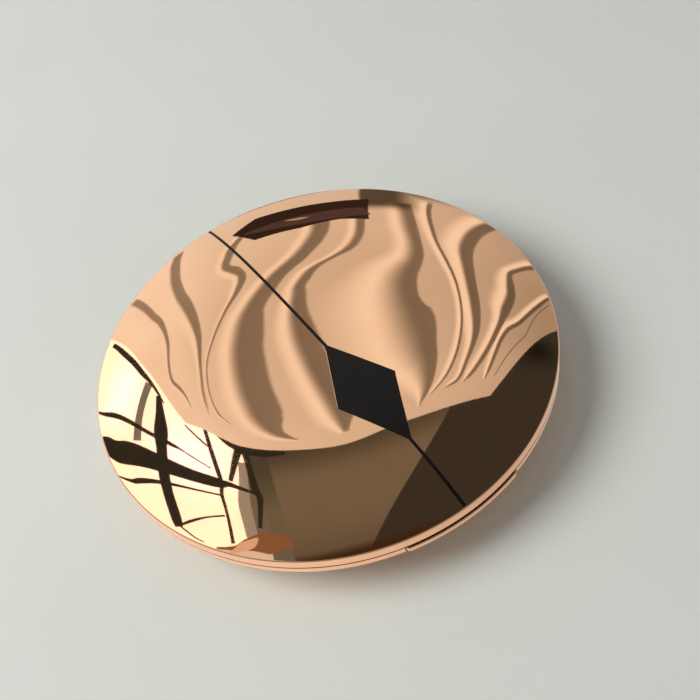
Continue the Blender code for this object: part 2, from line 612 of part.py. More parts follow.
def make_magnet():
    radius = MAGNET_DIAMETER / 2
    profile = [(0.0, MAGNET_TOP), (radius, MAGNET_TOP), (radius, MAGNET_BOTTOM),
               (0.0, MAGNET_BOTTOM)]
    finish(turned("pan_magnet", profile, PARTS), MAGNET)


def make_push_button():
    face = RADIUS + BUTTON_PROUD
    upper = arc((face - BUTTON_ROUND, BUTTON_TOP - BUTTON_ROUND), BUTTON_ROUND,
                math.pi / 2, 0.0, ROUND_STEPS)
    lower = [(face, BUTTON_TOP - BUTTON_ROUND - BUTTON_UPRIGHT),
             (bowl_radius(BUTTON_BOTTOM) + BUTTON_PROUD, BUTTON_BOTTOM)]
    section = [(BUTTON_BACK, BUTTON_TOP), *upper, *lower, (BUTTON_BACK, BUTTON_BOTTOM)]
    button = turned("push_button", section, PARTS, closed=True)
    combine(button, "INTERSECT",
            front_block("button_span", BUTTON_HALF, 0.0, BASE_HEIGHT + CLEAR_OF_ALL))
    wings = ring_tool("button_wings", WING_OUTER - WING_DEPTH, WING_OUTER, BUTTON_BOTTOM, WING_TOP)
    ties = ring_tool("wing_ties", WING_OUTER - WING_DEPTH / 2, BUTTON_BACK + OVERLAP,
                     BUTTON_BOTTOM + TIE_INSET, WING_TOP - TIE_INSET)
    combine(ties, "INTERSECT", front_block("tie_span", TIE_HALF, 0.0, BASE_HEIGHT))
    combine(wings, "INTERSECT", front_block("wing_span", WING_HALF, 0.0, BASE_HEIGHT))
    combine(wings, "UNION", ties)
    combine(wings, "DIFFERENCE",
            box("wing_middle", (-WING_START, -RADIUS, 0.0), (WING_START, 0.0, BASE_HEIGHT)))
    combine(button, "UNION", wings)
    for side in (-1, 1):
        label = "right" if side > 0 else "left"
        middle = side * LEG_SPACING / 2
        leg = box("button_leg_" + label,
                  (middle - LEG_WIDTH / 2, -BUTTON_BACK - OVERLAP, BUTTON_BOTTOM + TIE_INSET),
                  (middle + LEG_WIDTH / 2, LEG_END, LEG_TOP))
        combine(button, "UNION", leg)
    finish(button, ROSE_GOLD, BUTTON_PIVOT)


def make_latch_spring():
    tip = LEAF_FRONT - LIP_LENGTH
    outline = [(LEAF_BACK, LEAF_BOTTOM), (LEAF_BACK, LIP_TOP), (LEAF_FRONT, LIP_TOP),
               (tip, (LIP_TOP + LIP_BOTTOM) / 2), (tip, LIP_BOTTOM), (LEAF_FRONT, LIP_BOTTOM),
               (LEAF_FRONT, LEAF_BOTTOM)]
    leaf = extruded("latch_spring", outline, -LEAF_WIDTH / 2, LEAF_WIDTH / 2, axis="X",
                    collection=PARTS)
    finish(leaf, SPRING_STEEL)


def make_hinge_pin():
    finish(hinge_rod("hinge_pin", PIN_RADIUS, -HINGE_WIDTH / 2, HINGE_WIDTH / 2, PARTS),
           SPRING_STEEL)


make_lid_shell(make_inlays())
make_lid_liner()
make_mirror()
make_base_shell()
make_base_tray()
make_powder()
make_magnet()
make_push_button()
make_latch_spring()
make_hinge_pin()
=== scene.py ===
"""Looks of a round powder compact: polished rose-gold shells, black inlays, mirror and powder.

Metres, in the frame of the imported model: +Z up, the button faces -Y, the hinge lies at +Y.
"""

import math

import bmesh
import bpy
import numpy as np
from mathutils import Matrix, Vector


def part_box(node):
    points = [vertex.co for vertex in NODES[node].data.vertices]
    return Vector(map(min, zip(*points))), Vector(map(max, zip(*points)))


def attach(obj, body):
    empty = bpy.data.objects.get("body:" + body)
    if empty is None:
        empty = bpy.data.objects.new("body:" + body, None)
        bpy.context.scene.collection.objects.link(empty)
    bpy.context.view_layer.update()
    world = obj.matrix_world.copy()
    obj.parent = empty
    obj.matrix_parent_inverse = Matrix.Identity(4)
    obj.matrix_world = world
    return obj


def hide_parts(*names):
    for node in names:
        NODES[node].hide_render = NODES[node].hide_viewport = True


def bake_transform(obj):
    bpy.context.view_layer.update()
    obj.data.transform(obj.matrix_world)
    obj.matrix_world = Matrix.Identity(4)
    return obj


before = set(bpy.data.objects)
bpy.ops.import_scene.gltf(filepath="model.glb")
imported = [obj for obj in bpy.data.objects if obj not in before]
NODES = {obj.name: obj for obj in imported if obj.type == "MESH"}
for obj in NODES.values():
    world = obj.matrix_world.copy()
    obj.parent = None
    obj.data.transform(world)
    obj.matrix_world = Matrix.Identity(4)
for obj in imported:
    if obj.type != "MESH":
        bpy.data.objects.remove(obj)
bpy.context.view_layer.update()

MM = 0.001
QUARTER = math.pi / 2

# Overall form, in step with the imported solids
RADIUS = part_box("base_shell")[1].x
BASE_HEIGHT = 9.0 * MM
LID_BOTTOM = 9.2 * MM
EDGE_Z = 10.9 * MM
EDGE_ROUND = 0.4 * MM
CROWN_Z = 15.045 * MM
RIM_CHAMFER = 0.08 * MM
EDGE_RADIUS = RADIUS - EDGE_ROUND
EDGE_SLOPE = math.radians(21.9)  # of the dome where it meets its rounded edge
DOME_DROP = 4.2 * MM  # crown above that meeting
DOME_REACH = EDGE_RADIUS + EDGE_ROUND * math.sin(EDGE_SLOPE)
DOME_POWER = DOME_REACH * math.tan(EDGE_SLOPE) / DOME_DROP
EDGE_CENTRE_Z = CROWN_Z - DOME_DROP - EDGE_ROUND * math.cos(EDGE_SLOPE)
LID_WALL = 1.0 * MM
BAND_INNER = RADIUS - 1.1 * MM
SIDE_GAP = 0.15 * MM
SEAT_GAP = 0.1 * MM

# Bowl
SHOULDER_Z = BASE_HEIGHT - 0.7 * MM
SHOULDER_ROUND = 1.5 * MM
RIM_FLARE = math.radians(46)
FOOT_FLARE = math.radians(30)
BASE_WALL = 1.3 * MM
BASE_FLOOR = 1.2 * MM
FOOT_RING = 4.0 * MM
FOOT_RECESS = 0.3 * MM
SIDE_START = RIM_FLARE - QUARTER
SIDE_END = FOOT_FLARE - QUARTER
SIDE_RADIUS = ((SHOULDER_Z + SHOULDER_ROUND * math.sin(SIDE_START))
               / (math.cos(FOOT_FLARE) - math.cos(RIM_FLARE)))
SIDE_CENTRE = (RADIUS - SHOULDER_ROUND - (SIDE_RADIUS - SHOULDER_ROUND) * math.cos(SIDE_START),
               SHOULDER_Z - (SIDE_RADIUS - SHOULDER_ROUND) * math.sin(SIDE_START))
FOOT_RADIUS = SIDE_CENTRE[0] + SIDE_RADIUS * math.cos(SIDE_END)
BOWL_INNER = RADIUS - BASE_WALL

# Tray
DECK_TOP = 8.7 * MM
DECK_BOTTOM = 7.7 * MM
DECK_ROUND = 0.35 * MM
LEDGE_Z = DECK_BOTTOM - SEAT_GAP
LEDGE_RADIUS = BOWL_INNER - 0.8 * MM
INNER_SIDE = SIDE_RADIUS - BASE_WALL
INNER_START = -math.acos((LEDGE_RADIUS - SIDE_CENTRE[0]) / INNER_SIDE)
INNER_END = math.asin((BASE_FLOOR - SIDE_CENTRE[1]) / INNER_SIDE)
TRAY_RADIUS = BOWL_INNER - SIDE_GAP
WELL_RADIUS = 27.35 * MM
WELL_OUTER = 28.25 * MM
WELL_BOTTOM = 3.1 * MM
WELL_UNDER = 2.6 * MM

# Lid liner and mirror
LINER_RADIUS = BAND_INNER - SIDE_GAP
MIRROR_POCKET = LINER_RADIUS - 8.0 * MM
MIRROR_RADIUS = MIRROR_POCKET - SIDE_GAP
MIRROR_FACE = LID_BOTTOM + SEAT_GAP
MIRROR_TOP = MIRROR_FACE + 0.9 * MM
MIRROR_BEVEL = 0.25 * MM
POCKET_ROOF = 10.6 * MM

# Pan and powder
PAN_RADIUS = WELL_RADIUS - 0.3 * MM
PAN_TOP = 7.8 * MM
PAN_BOTTOM = 3.2 * MM
PAN_SHEET = 0.35 * MM
PAN_CORNER = 0.8 * MM
CAKE_RADIUS = PAN_RADIUS - PAN_SHEET - SEAT_GAP
CAKE_BOTTOM = 3.65 * MM
CAKE_CROWN = 0.3 * MM
GROOVE_RADIUS = 21.0 * MM
GROOVE_WIDTH = 0.9 * MM
GROOVE_DEPTH = 0.25 * MM

# Inlays of the lid
LOZENGE_CENTRE = 13.6 * MM
LOZENGE_LENGTH = 23.0 * MM
LOZENGE_WIDTH = 10.6 * MM
LOZENGE_THICKNESS = 0.35 * MM
LINE_WIDTH = 0.42 * MM
LINE_THICKNESS = 0.25 * MM
INLAY_GAP = 0.05 * MM
INLAY_BED = 0.1 * MM
INLAY_SINK = 0.02 * MM

# Hinge
HINGE_Y = RADIUS - 2.7 * MM
HINGE_Z = (BASE_HEIGHT + LID_BOTTOM) / 2
HINGE_WIDTH = 15.0 * MM
KNUCKLE_RADIUS = 1.25 * MM
KNUCKLE_CLEAR = 1.4 * MM
KNUCKLE_GAP = 0.2 * MM
LID_KNUCKLE_HALF = 3.0 * MM
BORE_RADIUS = 0.6 * MM
TAIL_GAP = 0.2 * MM
SWING_RADIUS = math.hypot(RADIUS - HINGE_Y, EDGE_Z - HINGE_Z) + TAIL_GAP
SWING_HALF = math.sqrt(RADIUS ** 2 - HINGE_Y ** 2) + 2 * TAIL_GAP
BLOCK_WALL = 1.4 * MM
BLOCK_HALF = SWING_HALF + BLOCK_WALL
BLOCK_Y = HINGE_Y - SWING_RADIUS - BLOCK_WALL
WEB_ANGLE = math.radians(236)

# Button and latch
BUTTON_TOP = 8.9 * MM
BUTTON_BOTTOM = 6.5 * MM
BUTTON_BACK = RADIUS - 2.2 * MM
BUTTON_PROUD = 0.3 * MM
BUTTON_ROUND = 0.25 * MM
BUTTON_UPRIGHT = 0.5 * MM
BUTTON_END_ROUND = 0.45 * MM
BUTTON_HALF = 10.0 * MM
BUTTON_GAP = 0.15 * MM
NOTCH_HALF = BUTTON_HALF + BUTTON_GAP
WING_HALF = NOTCH_HALF + 1.2 * MM
WING_OUTER = LEDGE_RADIUS - 1.2 * MM
WING_INNER = WING_OUTER - 0.9 * MM
WING_START = 6.0 * MM
WING_TOP = 7.5 * MM
TIE_INSET = 0.15 * MM
LEG_END = -32.55 * MM
LEG_SPACING = 6.6 * MM
LEG_WIDTH = 1.2 * MM
HOOK_FRONT = -34.3 * MM
HOOK_BACK = -33.3 * MM
NOSE_TIP = -32.65 * MM
NOSE_TOP = 7.2 * MM
HOOK_BOTTOM = 6.5 * MM
HOOK_HALF = 2.0 * MM
LATCH_CLEARANCE = 0.2 * MM
LEAF_HALF = 4.3 * MM
LEAF_FRONT = -32.35 * MM
LEAF_BACK = -32.1 * MM
LEAF_BOTTOM = 4.0 * MM
LEAF_SEAT_TOP = 5.2 * MM
LEAF_SEAT_WALL = 0.9 * MM
LEAF_STEPS = 12
LIP_TOP = 7.6 * MM
LIP_BOTTOM = LIP_TOP - (LEAF_BACK - LEAF_FRONT)
LIP_LENGTH = 0.65 * MM

# Smoothness
SEGMENTS = 256
FINE_STEPS = 48
ROUND_STEPS = 8
SMALL_SEGMENTS = 64
WELD = 0.0005 * MM
ON_SURFACE = 20 * WELD
OVERLAP = 0.5 * MM
CLEAR_OF_ALL = 5.0 * MM
CREASE = math.radians(32)
TURNS = [math.tau * step / SEGMENTS for step in range(SEGMENTS)]


# Mesh building

def new_object(name, data):
    """Put a mesh, a camera or a light into the scene."""
    obj = bpy.data.objects.new(name, data)
    bpy.context.scene.collection.objects.link(obj)
    return obj


def add_object(name, build):
    """Store a bmesh as an object of the scene."""
    bmesh.ops.recalc_face_normals(build, faces=build.faces)
    mesh = bpy.data.meshes.new(name)
    build.to_mesh(mesh)
    build.free()
    return new_object(name, mesh)


def bridge(build, first, second):
    """Join two closed rows of points by faces; a row may be a single point."""
    count = max(len(first), len(second))
    for here in range(count):
        there = (here + 1) % count
        corners = [first[here % len(first)], first[there % len(first)],
                   second[there % len(second)], second[here % len(second)]]
        build.faces.new(list(dict.fromkeys(corners)))


def lathe(name, profile, closed=False):
    """Turn (radius, height) points about the Z axis; a closed profile makes a ring."""
    build = bmesh.new()
    rings = []
    for radius, height in profile:
        if radius < WELD:
            rings.append([build.verts.new((0.0, 0.0, height))])
        else:
            places = [(radius * math.cos(turn), radius * math.sin(turn), height) for turn in TURNS]
            rings.append([build.verts.new(place) for place in places])
    pairs = list(zip(rings, rings[1:]))
    if closed:
        pairs.append((rings[-1], rings[0]))
    for first, second in pairs:
        bridge(build, first, second)
    return add_object(name, build)


def prism(name, outline, low, high, axis="Z"):
    """Extrude a flat outline along Z (points x, y) or along X (points y, z)."""
    build = bmesh.new()
    ends = [[build.verts.new((u, v, level) if axis == "Z" else (level, u, v)) for u, v in outline]
            for level in (low, high)]
    build.faces.new(ends[0])
    build.faces.new(ends[1])
    bridge(build, *ends)
    return add_object(name, build)


def block(name, low, high):
    outline = [(low[0], low[1]), (high[0], low[1]), (high[0], high[1]), (low[0], high[1])]
    return prism(name, outline, low[2], high[2])


def hinge_rod(name, radius, low, high):
    """A cylinder along the hinge axis between two X positions."""
    outline = arc((HINGE_Y, HINGE_Z), radius, 0.0, math.tau, SMALL_SEGMENTS)[:-1]
    return prism(name, outline, low, high, axis="X")


def front_block(name, half_width, low, high):
    """A block from the middle of the compact out past its front."""
    return block(name, (-half_width, -RADIUS - CLEAR_OF_ALL, low), (half_width, 0.0, high))


def ring(name, inner, outer, low, high):
    return lathe(name, [(inner, high), (outer, high), (outer, low), (inner, low)], closed=True)


def carve(obj, operation, *tools):
    """Cut or join other objects with this one, and keep the result as its mesh."""
    for tool in tools:
        step = obj.modifiers.new(tool.name, "BOOLEAN")
        step.operation = operation
        step.solver = "MANIFOLD"
        step.object = tool
    bake(obj)
    for tool in tools:
        bpy.data.objects.remove(tool, do_unlink=True)
    return obj


def bake(obj):
    """Keep what the modifiers make as the object's mesh."""
    depsgraph = bpy.context.evaluated_depsgraph_get()
    mesh = bpy.data.meshes.new_from_object(obj.evaluated_get(depsgraph))
    obj.modifiers.clear()
    obj.data = mesh
    return obj


def soften(obj):
    """Shade smooth, with sharp edges where faces turn more than the crease angle."""
    obj.data.polygons.foreach_set("use_smooth", [True] * len(obj.data.polygons))
    obj.data.set_sharp_from_angle(angle=CREASE)
    weighted = obj.modifiers.new("weighted", "WEIGHTED_NORMAL")
    weighted.keep_sharp = True
    return bake(obj)


def dome_height(radius):
    """Height of the outer dome: nearly flat in the middle and steeper towards the rim."""
    return CROWN_Z - DOME_DROP * (radius / DOME_REACH) ** DOME_POWER


def lid_normal(place, sink):
    """Exact outward direction at a place on the dome, its rounded edge or the upright rim."""
    radius = math.hypot(place.x, place.y)
    out = Vector((place.x, place.y, 0.0)) / max(radius, WELD)
    if radius < DOME_REACH + WELD and abs(place.z - dome_height(radius) + sink) < ON_SURFACE:
        fall = DOME_DROP * DOME_POWER / DOME_REACH * (radius / DOME_REACH) ** (DOME_POWER - 1)
        return (out * fall + Vector((0.0, 0.0, 1.0))).normalized()
    if sink or radius < EDGE_RADIUS:
        return None
    if place.z < EDGE_CENTRE_Z + WELD:
        return out if abs(radius - RADIUS) < ON_SURFACE else None
    return (out * (radius - EDGE_RADIUS) + Vector((0.0, 0.0, place.z - EDGE_CENTRE_Z))).normalized()


def true_lid(obj, sink=0.0):
    """Give the outer faces of the lid their exact normals, so that reflections run clean."""
    soften(obj)
    mesh = obj.data
    normals = [Vector(corner.vector) for corner in mesh.corner_normals]
    for face in mesh.polygons:
        exact = [lid_normal(mesh.vertices[index].co, sink) for index in face.vertices]
        if all(way and way.dot(face.normal) > math.cos(CREASE) for way in exact):
            for corner, way in zip(face.loop_indices, exact):
                normals[corner] = way
    mesh.normals_split_custom_set(normals)
    return obj


def arc(centre, radius, start, end, steps=ROUND_STEPS):
    """Points of an arc; angles count from straight out towards straight up."""
    points = []
    for step in range(steps + 1):
        angle = start + (end - start) * step / steps
        points.append((centre[0] + radius * math.cos(angle), centre[1] + radius * math.sin(angle)))
    return points


def dome(offset, reach):
    """Points of the dome, or of a layer at an offset under it, from the axis out to a radius."""
    rings = [reach * step / FINE_STEPS for step in range(FINE_STEPS + 1)]
    return [(radius, dome_height(radius) - offset) for radius in rings]


# Materials

WAVE_UNITS = 20.0 / math.tau  # bands per unit that Blender's wave texture draws at scale 1
THREAD_WANDER = 0.6
THREAD_DETAIL = 1.0


def add_node(tree, kind, **inputs):
    """A new shader node, with inputs that are set or, where a socket is given, linked."""
    node = tree.nodes.new("ShaderNode" + kind)
    for name, value in inputs.items():
        if isinstance(value, bpy.types.NodeSocket):
            tree.links.new(value, node.inputs[name])
        else:
            node.inputs[name].default_value = value
    return node


class Surface:
    """A material round one Principled shader, with grain in its colour, gloss and relief."""

    def __init__(self, name, metallic, tint, gloss, relief=None):
        self.material = bpy.data.materials.new(name)
        self.material.use_nodes = True
        self.tree = self.material.node_tree
        self.shader = self.tree.nodes["Principled BSDF"].inputs
        self.shader["Metallic"].default_value = metallic
        self.place = add_node(self.tree, "TexCoord").outputs["Object"]
        self.grain("Base Color", *tint)
        if isinstance(gloss, tuple):
            self.grain("Roughness", *gloss)
        else:
            self.shader["Roughness"].default_value = gloss
        if relief:
            size, detail, depth = relief
            self.bump(self.noise(size, detail), depth)

    def noise(self, size, detail):
        """Noise with features of about a size in mm, which may differ between the axes."""
        sizes = size if isinstance(size, tuple) else (size,) * 3
        mapping = add_node(self.tree, "Mapping", Vector=self.place,
                           Scale=[1.0 / (part * MM) for part in sizes])
        texture = add_node(self.tree, "TexNoise", Vector=mapping.outputs["Vector"], Scale=1.0,
                           Detail=detail)
        return texture.outputs["Fac"]

    def grain(self, entry, size, detail, *stops):
        """Vary an input of the shader by noise, along (position, colour or grey level) stops."""
        ramp = add_node(self.tree, "ValToRGB", Fac=self.noise(size, detail))
        elements = ramp.color_ramp.elements
        while len(elements) < len(stops):
            elements.new(0.5)
        for element, (position, level) in zip(elements, stops):
            element.position = position
            element.color = (*level, 1.0) if isinstance(level, tuple) else (level,) * 3 + (1.0,)
        self.tree.links.new(ramp.outputs["Color"], self.shader[entry])

    def bump(self, height, depth, strength=1.0):
        """Add relief of a depth in mm; a second call adds to the first."""
        bump = add_node(self.tree, "Bump", Height=height, Distance=depth * MM, Strength=strength)
        entry = self.shader["Normal"]
        if entry.is_linked:
            self.tree.links.new(entry.links[0].from_socket, bump.inputs["Normal"])
        self.tree.links.new(bump.outputs["Normal"], entry)

    def weave(self, pitch):
        """Two crossed sets of fine threads, a pitch in mm apart."""
        both = add_node(self.tree, "Math")
        both.operation = "MULTIPLY"
        for direction, entry in zip("XY", both.inputs):
            wave = add_node(self.tree, "TexWave", Vector=self.place, Detail=THREAD_DETAIL,
                            Scale=1.0 / (pitch * MM * WAVE_UNITS), Distortion=THREAD_WANDER)
            wave.bands_direction = direction
            self.tree.links.new(wave.outputs["Fac"], entry)
        return both.outputs["Value"]


# Finishes: the material's name, metallic share, tint, gloss (or one roughness) and relief. Each has a
# size of grain in mm and its detail, then the stops of a tint or gloss, or a relief's depth in mm.
FINISHES = {
    "gold": ("polished_rose_gold", 1.0,
             (6, 2, (0.35, (0.915, 0.540, 0.318)), (0.65, (0.925, 0.558, 0.332))),
             (0.25, 4, (0.40, 0.015), (0.75, 0.045)), (5, 1, 0.0004)),
    "satin": ("satin_rose_gold", 0.9,
              (4, 3, (0.3, (0.80, 0.475, 0.315)), (0.7, (0.86, 0.525, 0.35))),
              (0.3, 3, (0.3, 0.22), (0.7, 0.36)), (0.12, 2, 0.004)),
    # Duller metal round the hinge: rougher and less metallic, with a darker colour that is painted
    # shade in that recess
    "dull_shaded_recess": ("dull_shaded_recess_rose_gold", 0.35,
               (2, 3, (0.3, (0.56, 0.37, 0.27)), (0.7, (0.64, 0.43, 0.32))),
               (0.3, 3, (0.3, 0.36), (0.7, 0.50)), (0.15, 2, 0.003)),
    "enamel": ("satin_black_enamel", 0.0,
               (1.5, 3, (0.3, (0.0058, 0.0050, 0.0050)), (0.7, (0.0080, 0.0068, 0.0066))),
               (0.2, 3, (0.3, 0.24), (0.7, 0.34)), (0.15, 2, 0.0008)),
    "glass": ("silvered_glass", 1.0,
              (15, 2, (0.3, (0.88, 0.90, 0.90)), (0.7, (0.92, 0.93, 0.93))),
              (3, 4, (0.5, 0.006), (0.8, 0.03))),
    "powder": ("pressed_powder", 0.0,
               (0.35, 6, (0.25, (0.66, 0.42, 0.29)), (0.5, (0.73, 0.49, 0.35)),
                (0.75, (0.79, 0.56, 0.42))), 0.92),
    "tin": ("tinplate", 1.0, (2, 3, (0.3, (0.60, 0.60, 0.61)), (0.7, (0.72, 0.72, 0.73))),
            ((0.2, 0.2, 1.6), 3, (0.3, 0.18), (0.7, 0.34))),
    "steel": ("spring_steel", 1.0, (1, 3, (0.3, (0.44, 0.44, 0.46)), (0.7, (0.56, 0.56, 0.58))),
              ((1.5, 0.05, 0.05), 3, (0.3, 0.2), (0.7, 0.42))),
    "nickel": ("nickel_plate", 1.0, (1.5, 3, (0.3, (0.40, 0.39, 0.37)), (0.7, (0.50, 0.49, 0.47))),
               (0.15, 3, (0.3, 0.25), (0.7, 0.45))),
    "film": ("adhesive_film", 0.0, (0.5, 4, (0.3, (0.68, 0.68, 0.65)), (0.7, (0.80, 0.80, 0.77))),
             0.85, (0.2, 3, 0.02)),
    "floor": ("pale_floor", 0.0, (60, 3, (0.3, (0.69, 0.72, 0.68)), (0.7, (0.72, 0.75, 0.71))),
              0.75, (0.6, 3, 0.01)),
}
ENAMEL_SPECULAR = 0.16
POWDER_SHEEN = 0.15
POWDER_WEAVE = (0.5, 0.05, 0.6)  # pitch and depth in mm, and strength
POWDER_GRAIN = (0.10, 4, 0.03, 0.7)  # size in mm, detail, depth in mm, and strength

SURFACES = {key: Surface(*fields) for key, fields in FINISHES.items()}


def finish_enamel_and_powder():
    """What the table of finishes doesn't give: the enamel's low shine, and the powder's relief."""
    SURFACES["enamel"].shader["Specular IOR Level"].default_value = ENAMEL_SPECULAR
    powder = SURFACES["powder"]
    powder.shader["Sheen Weight"].default_value = POWDER_SHEEN
    pitch, depth, strength = POWDER_WEAVE
    powder.bump(powder.weave(pitch), depth, strength)
    size, detail, depth, strength = POWDER_GRAIN
    powder.bump(powder.noise(size, detail), depth, strength)


def dress(obj, surface):
    obj.data.materials.clear()
    obj.data.materials.append(SURFACES[surface].material)


def settle(obj, surface, body, node):
    """Dress a new piece, let it ride on its body and stand for its node."""
    dress(obj, surface)
    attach(obj, body)
    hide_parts(node)


# Lid

def lozenge_outline(grow):
    half_length = LOZENGE_LENGTH / 2
    half_width = LOZENGE_WIDTH / 2
    slant = math.hypot(half_length, half_width)
    long = half_length + grow * slant / half_width
    wide = half_width + grow * slant / half_length
    return [(0.0, -LOZENGE_CENTRE - long), (wide, -LOZENGE_CENTRE),
            (0.0, -LOZENGE_CENTRE + long), (-wide, -LOZENGE_CENTRE)]


def line_outline(front, rear, grow):
    half = LINE_WIDTH / 2 + grow
    return [(-half, front), (half, front), (half, rear), (-half, rear)]


def inlay_outlines():
    """Node of each inlay, with its outline, the outline of its groove and its thickness."""
    meet = LOZENGE_WIDTH / LOZENGE_LENGTH
    tip = LOZENGE_LENGTH / 2 - LINE_WIDTH / 2 / meet
    gap = 2 * INLAY_GAP / meet
    front = (-EDGE_RADIUS, -LOZENGE_CENTRE - tip - gap)
    rear = (-LOZENGE_CENTRE + tip + gap, EDGE_RADIUS)
    return (
        ("lozenge_inlay", lozenge_outline(0.0), lozenge_outline(INLAY_GAP), LOZENGE_THICKNESS),
        ("front_line_inlay", line_outline(*front, 0.0),
         line_outline(front[0] - INLAY_GAP, front[1] + gap, INLAY_GAP), LINE_THICKNESS),
        ("rear_line_inlay", line_outline(*rear, 0.0),
         line_outline(rear[0] - gap, rear[1] + INLAY_GAP, INLAY_GAP), LINE_THICKNESS),
    )


def dome_layer(name, top, bottom):
    """A curved layer of the lid between two depths inside its outer dome."""
    return lathe(name, dome(top, RADIUS) + dome(bottom, RADIUS)[::-1])


def make_inlays():
    grooves = []
    for node, outline, groove_outline, thickness in inlay_outlines():
        depth = INLAY_SINK + thickness
        above = CROWN_Z + OVERLAP
        inlay = carve(dome_layer(node.replace("_inlay", "_enamel"), INLAY_SINK, depth),
                      "INTERSECT", prism("outline", outline, BASE_HEIGHT, above))
        true_lid(inlay, INLAY_SINK)
        settle(inlay, "enamel", "lid", node)
        grooves.append(carve(dome_layer("groove", -CLEAR_OF_ALL, depth + INLAY_BED),
                             "INTERSECT", prism("outline", groove_outline, BASE_HEIGHT, above)))
    return grooves


def make_lid(grooves):
    edge = arc((EDGE_RADIUS, EDGE_CENTRE_Z), EDGE_ROUND, QUARTER - EDGE_SLOPE, 0.0)
    lip = arc((RADIUS - RIM_CHAMFER, LID_BOTTOM + RIM_CHAMFER), RIM_CHAMFER, 0.0, -QUARTER)
    inner = dome(LID_WALL, BAND_INNER)[::-1]
    lid = lathe("polished_lid",
                dome(0.0, DOME_REACH) + edge[1:] + lip + [(BAND_INNER, LID_BOTTOM)] + inner)
    reach = HINGE_WIDTH / 2 + KNUCKLE_GAP
    carve(lid, "DIFFERENCE", *grooves, hinge_rod("knuckle_room", KNUCKLE_CLEAR, -reach, reach))
    settle(true_lid(lid), "gold", "lid", "lid_shell")


def make_liner():
    edge = arc((LINER_RADIUS - RIM_CHAMFER, LID_BOTTOM + RIM_CHAMFER), RIM_CHAMFER,
               0.0, -QUARTER)
    profile = [*dome(LID_WALL + SIDE_GAP, LINER_RADIUS), *edge,
               (MIRROR_POCKET + MIRROR_BEVEL, LID_BOTTOM), (MIRROR_POCKET, MIRROR_FACE),
               (MIRROR_POCKET, POCKET_ROOF), (0.0, POCKET_ROOF)]
    liner = lathe("lid_lining", profile)
    end = HINGE_WIDTH / 2 + KNUCKLE_GAP
    carve(liner, "DIFFERENCE",
          hinge_rod("room_left", KNUCKLE_CLEAR, -end, -LID_KNUCKLE_HALF),
          hinge_rod("room_right", KNUCKLE_CLEAR, LID_KNUCKLE_HALF, end))
    root = LID_BOTTOM + OVERLAP
    hook = prism("hook", [(HOOK_FRONT, root), (HOOK_FRONT, HOOK_BOTTOM), (HOOK_BACK, HOOK_BOTTOM),
                          (NOSE_TIP, (NOSE_TOP + HOOK_BOTTOM) / 2), (NOSE_TIP, NOSE_TOP),
                          (HOOK_BACK, NOSE_TOP), (HOOK_BACK, root)],
                 -HOOK_HALF, HOOK_HALF, axis="X")
    carve(liner, "UNION",
          hinge_rod("knuckle", KNUCKLE_RADIUS, -LID_KNUCKLE_HALF, LID_KNUCKLE_HALF), hook)
    carve(liner, "DIFFERENCE", hinge_rod("bore", BORE_RADIUS, -end, end))
    settle(soften(liner), "satin", "lid", "lid_liner")


def make_mirror():
    profile = [(0.0, MIRROR_TOP), (MIRROR_RADIUS, MIRROR_TOP),
               (MIRROR_RADIUS, MIRROR_FACE + MIRROR_BEVEL),
               (MIRROR_RADIUS - MIRROR_BEVEL, MIRROR_FACE), (0.0, MIRROR_FACE)]
    settle(soften(lathe("looking_glass", profile)), "glass", "lid", "mirror")


# Base

def bowl_radius(height):
    """Outer radius of the flared side at a height."""
    return SIDE_CENTRE[0] + math.sqrt(SIDE_RADIUS ** 2 - (height - SIDE_CENTRE[1]) ** 2)


def leaf_seat(name, grow, low, high):
    """A block round the foot of the latch leaf, grown by a wall or by its clearance."""
    half = LEAF_HALF + grow
    return block(name, (-half, LEAF_FRONT - grow, low), (half, LEAF_BACK + grow, high))


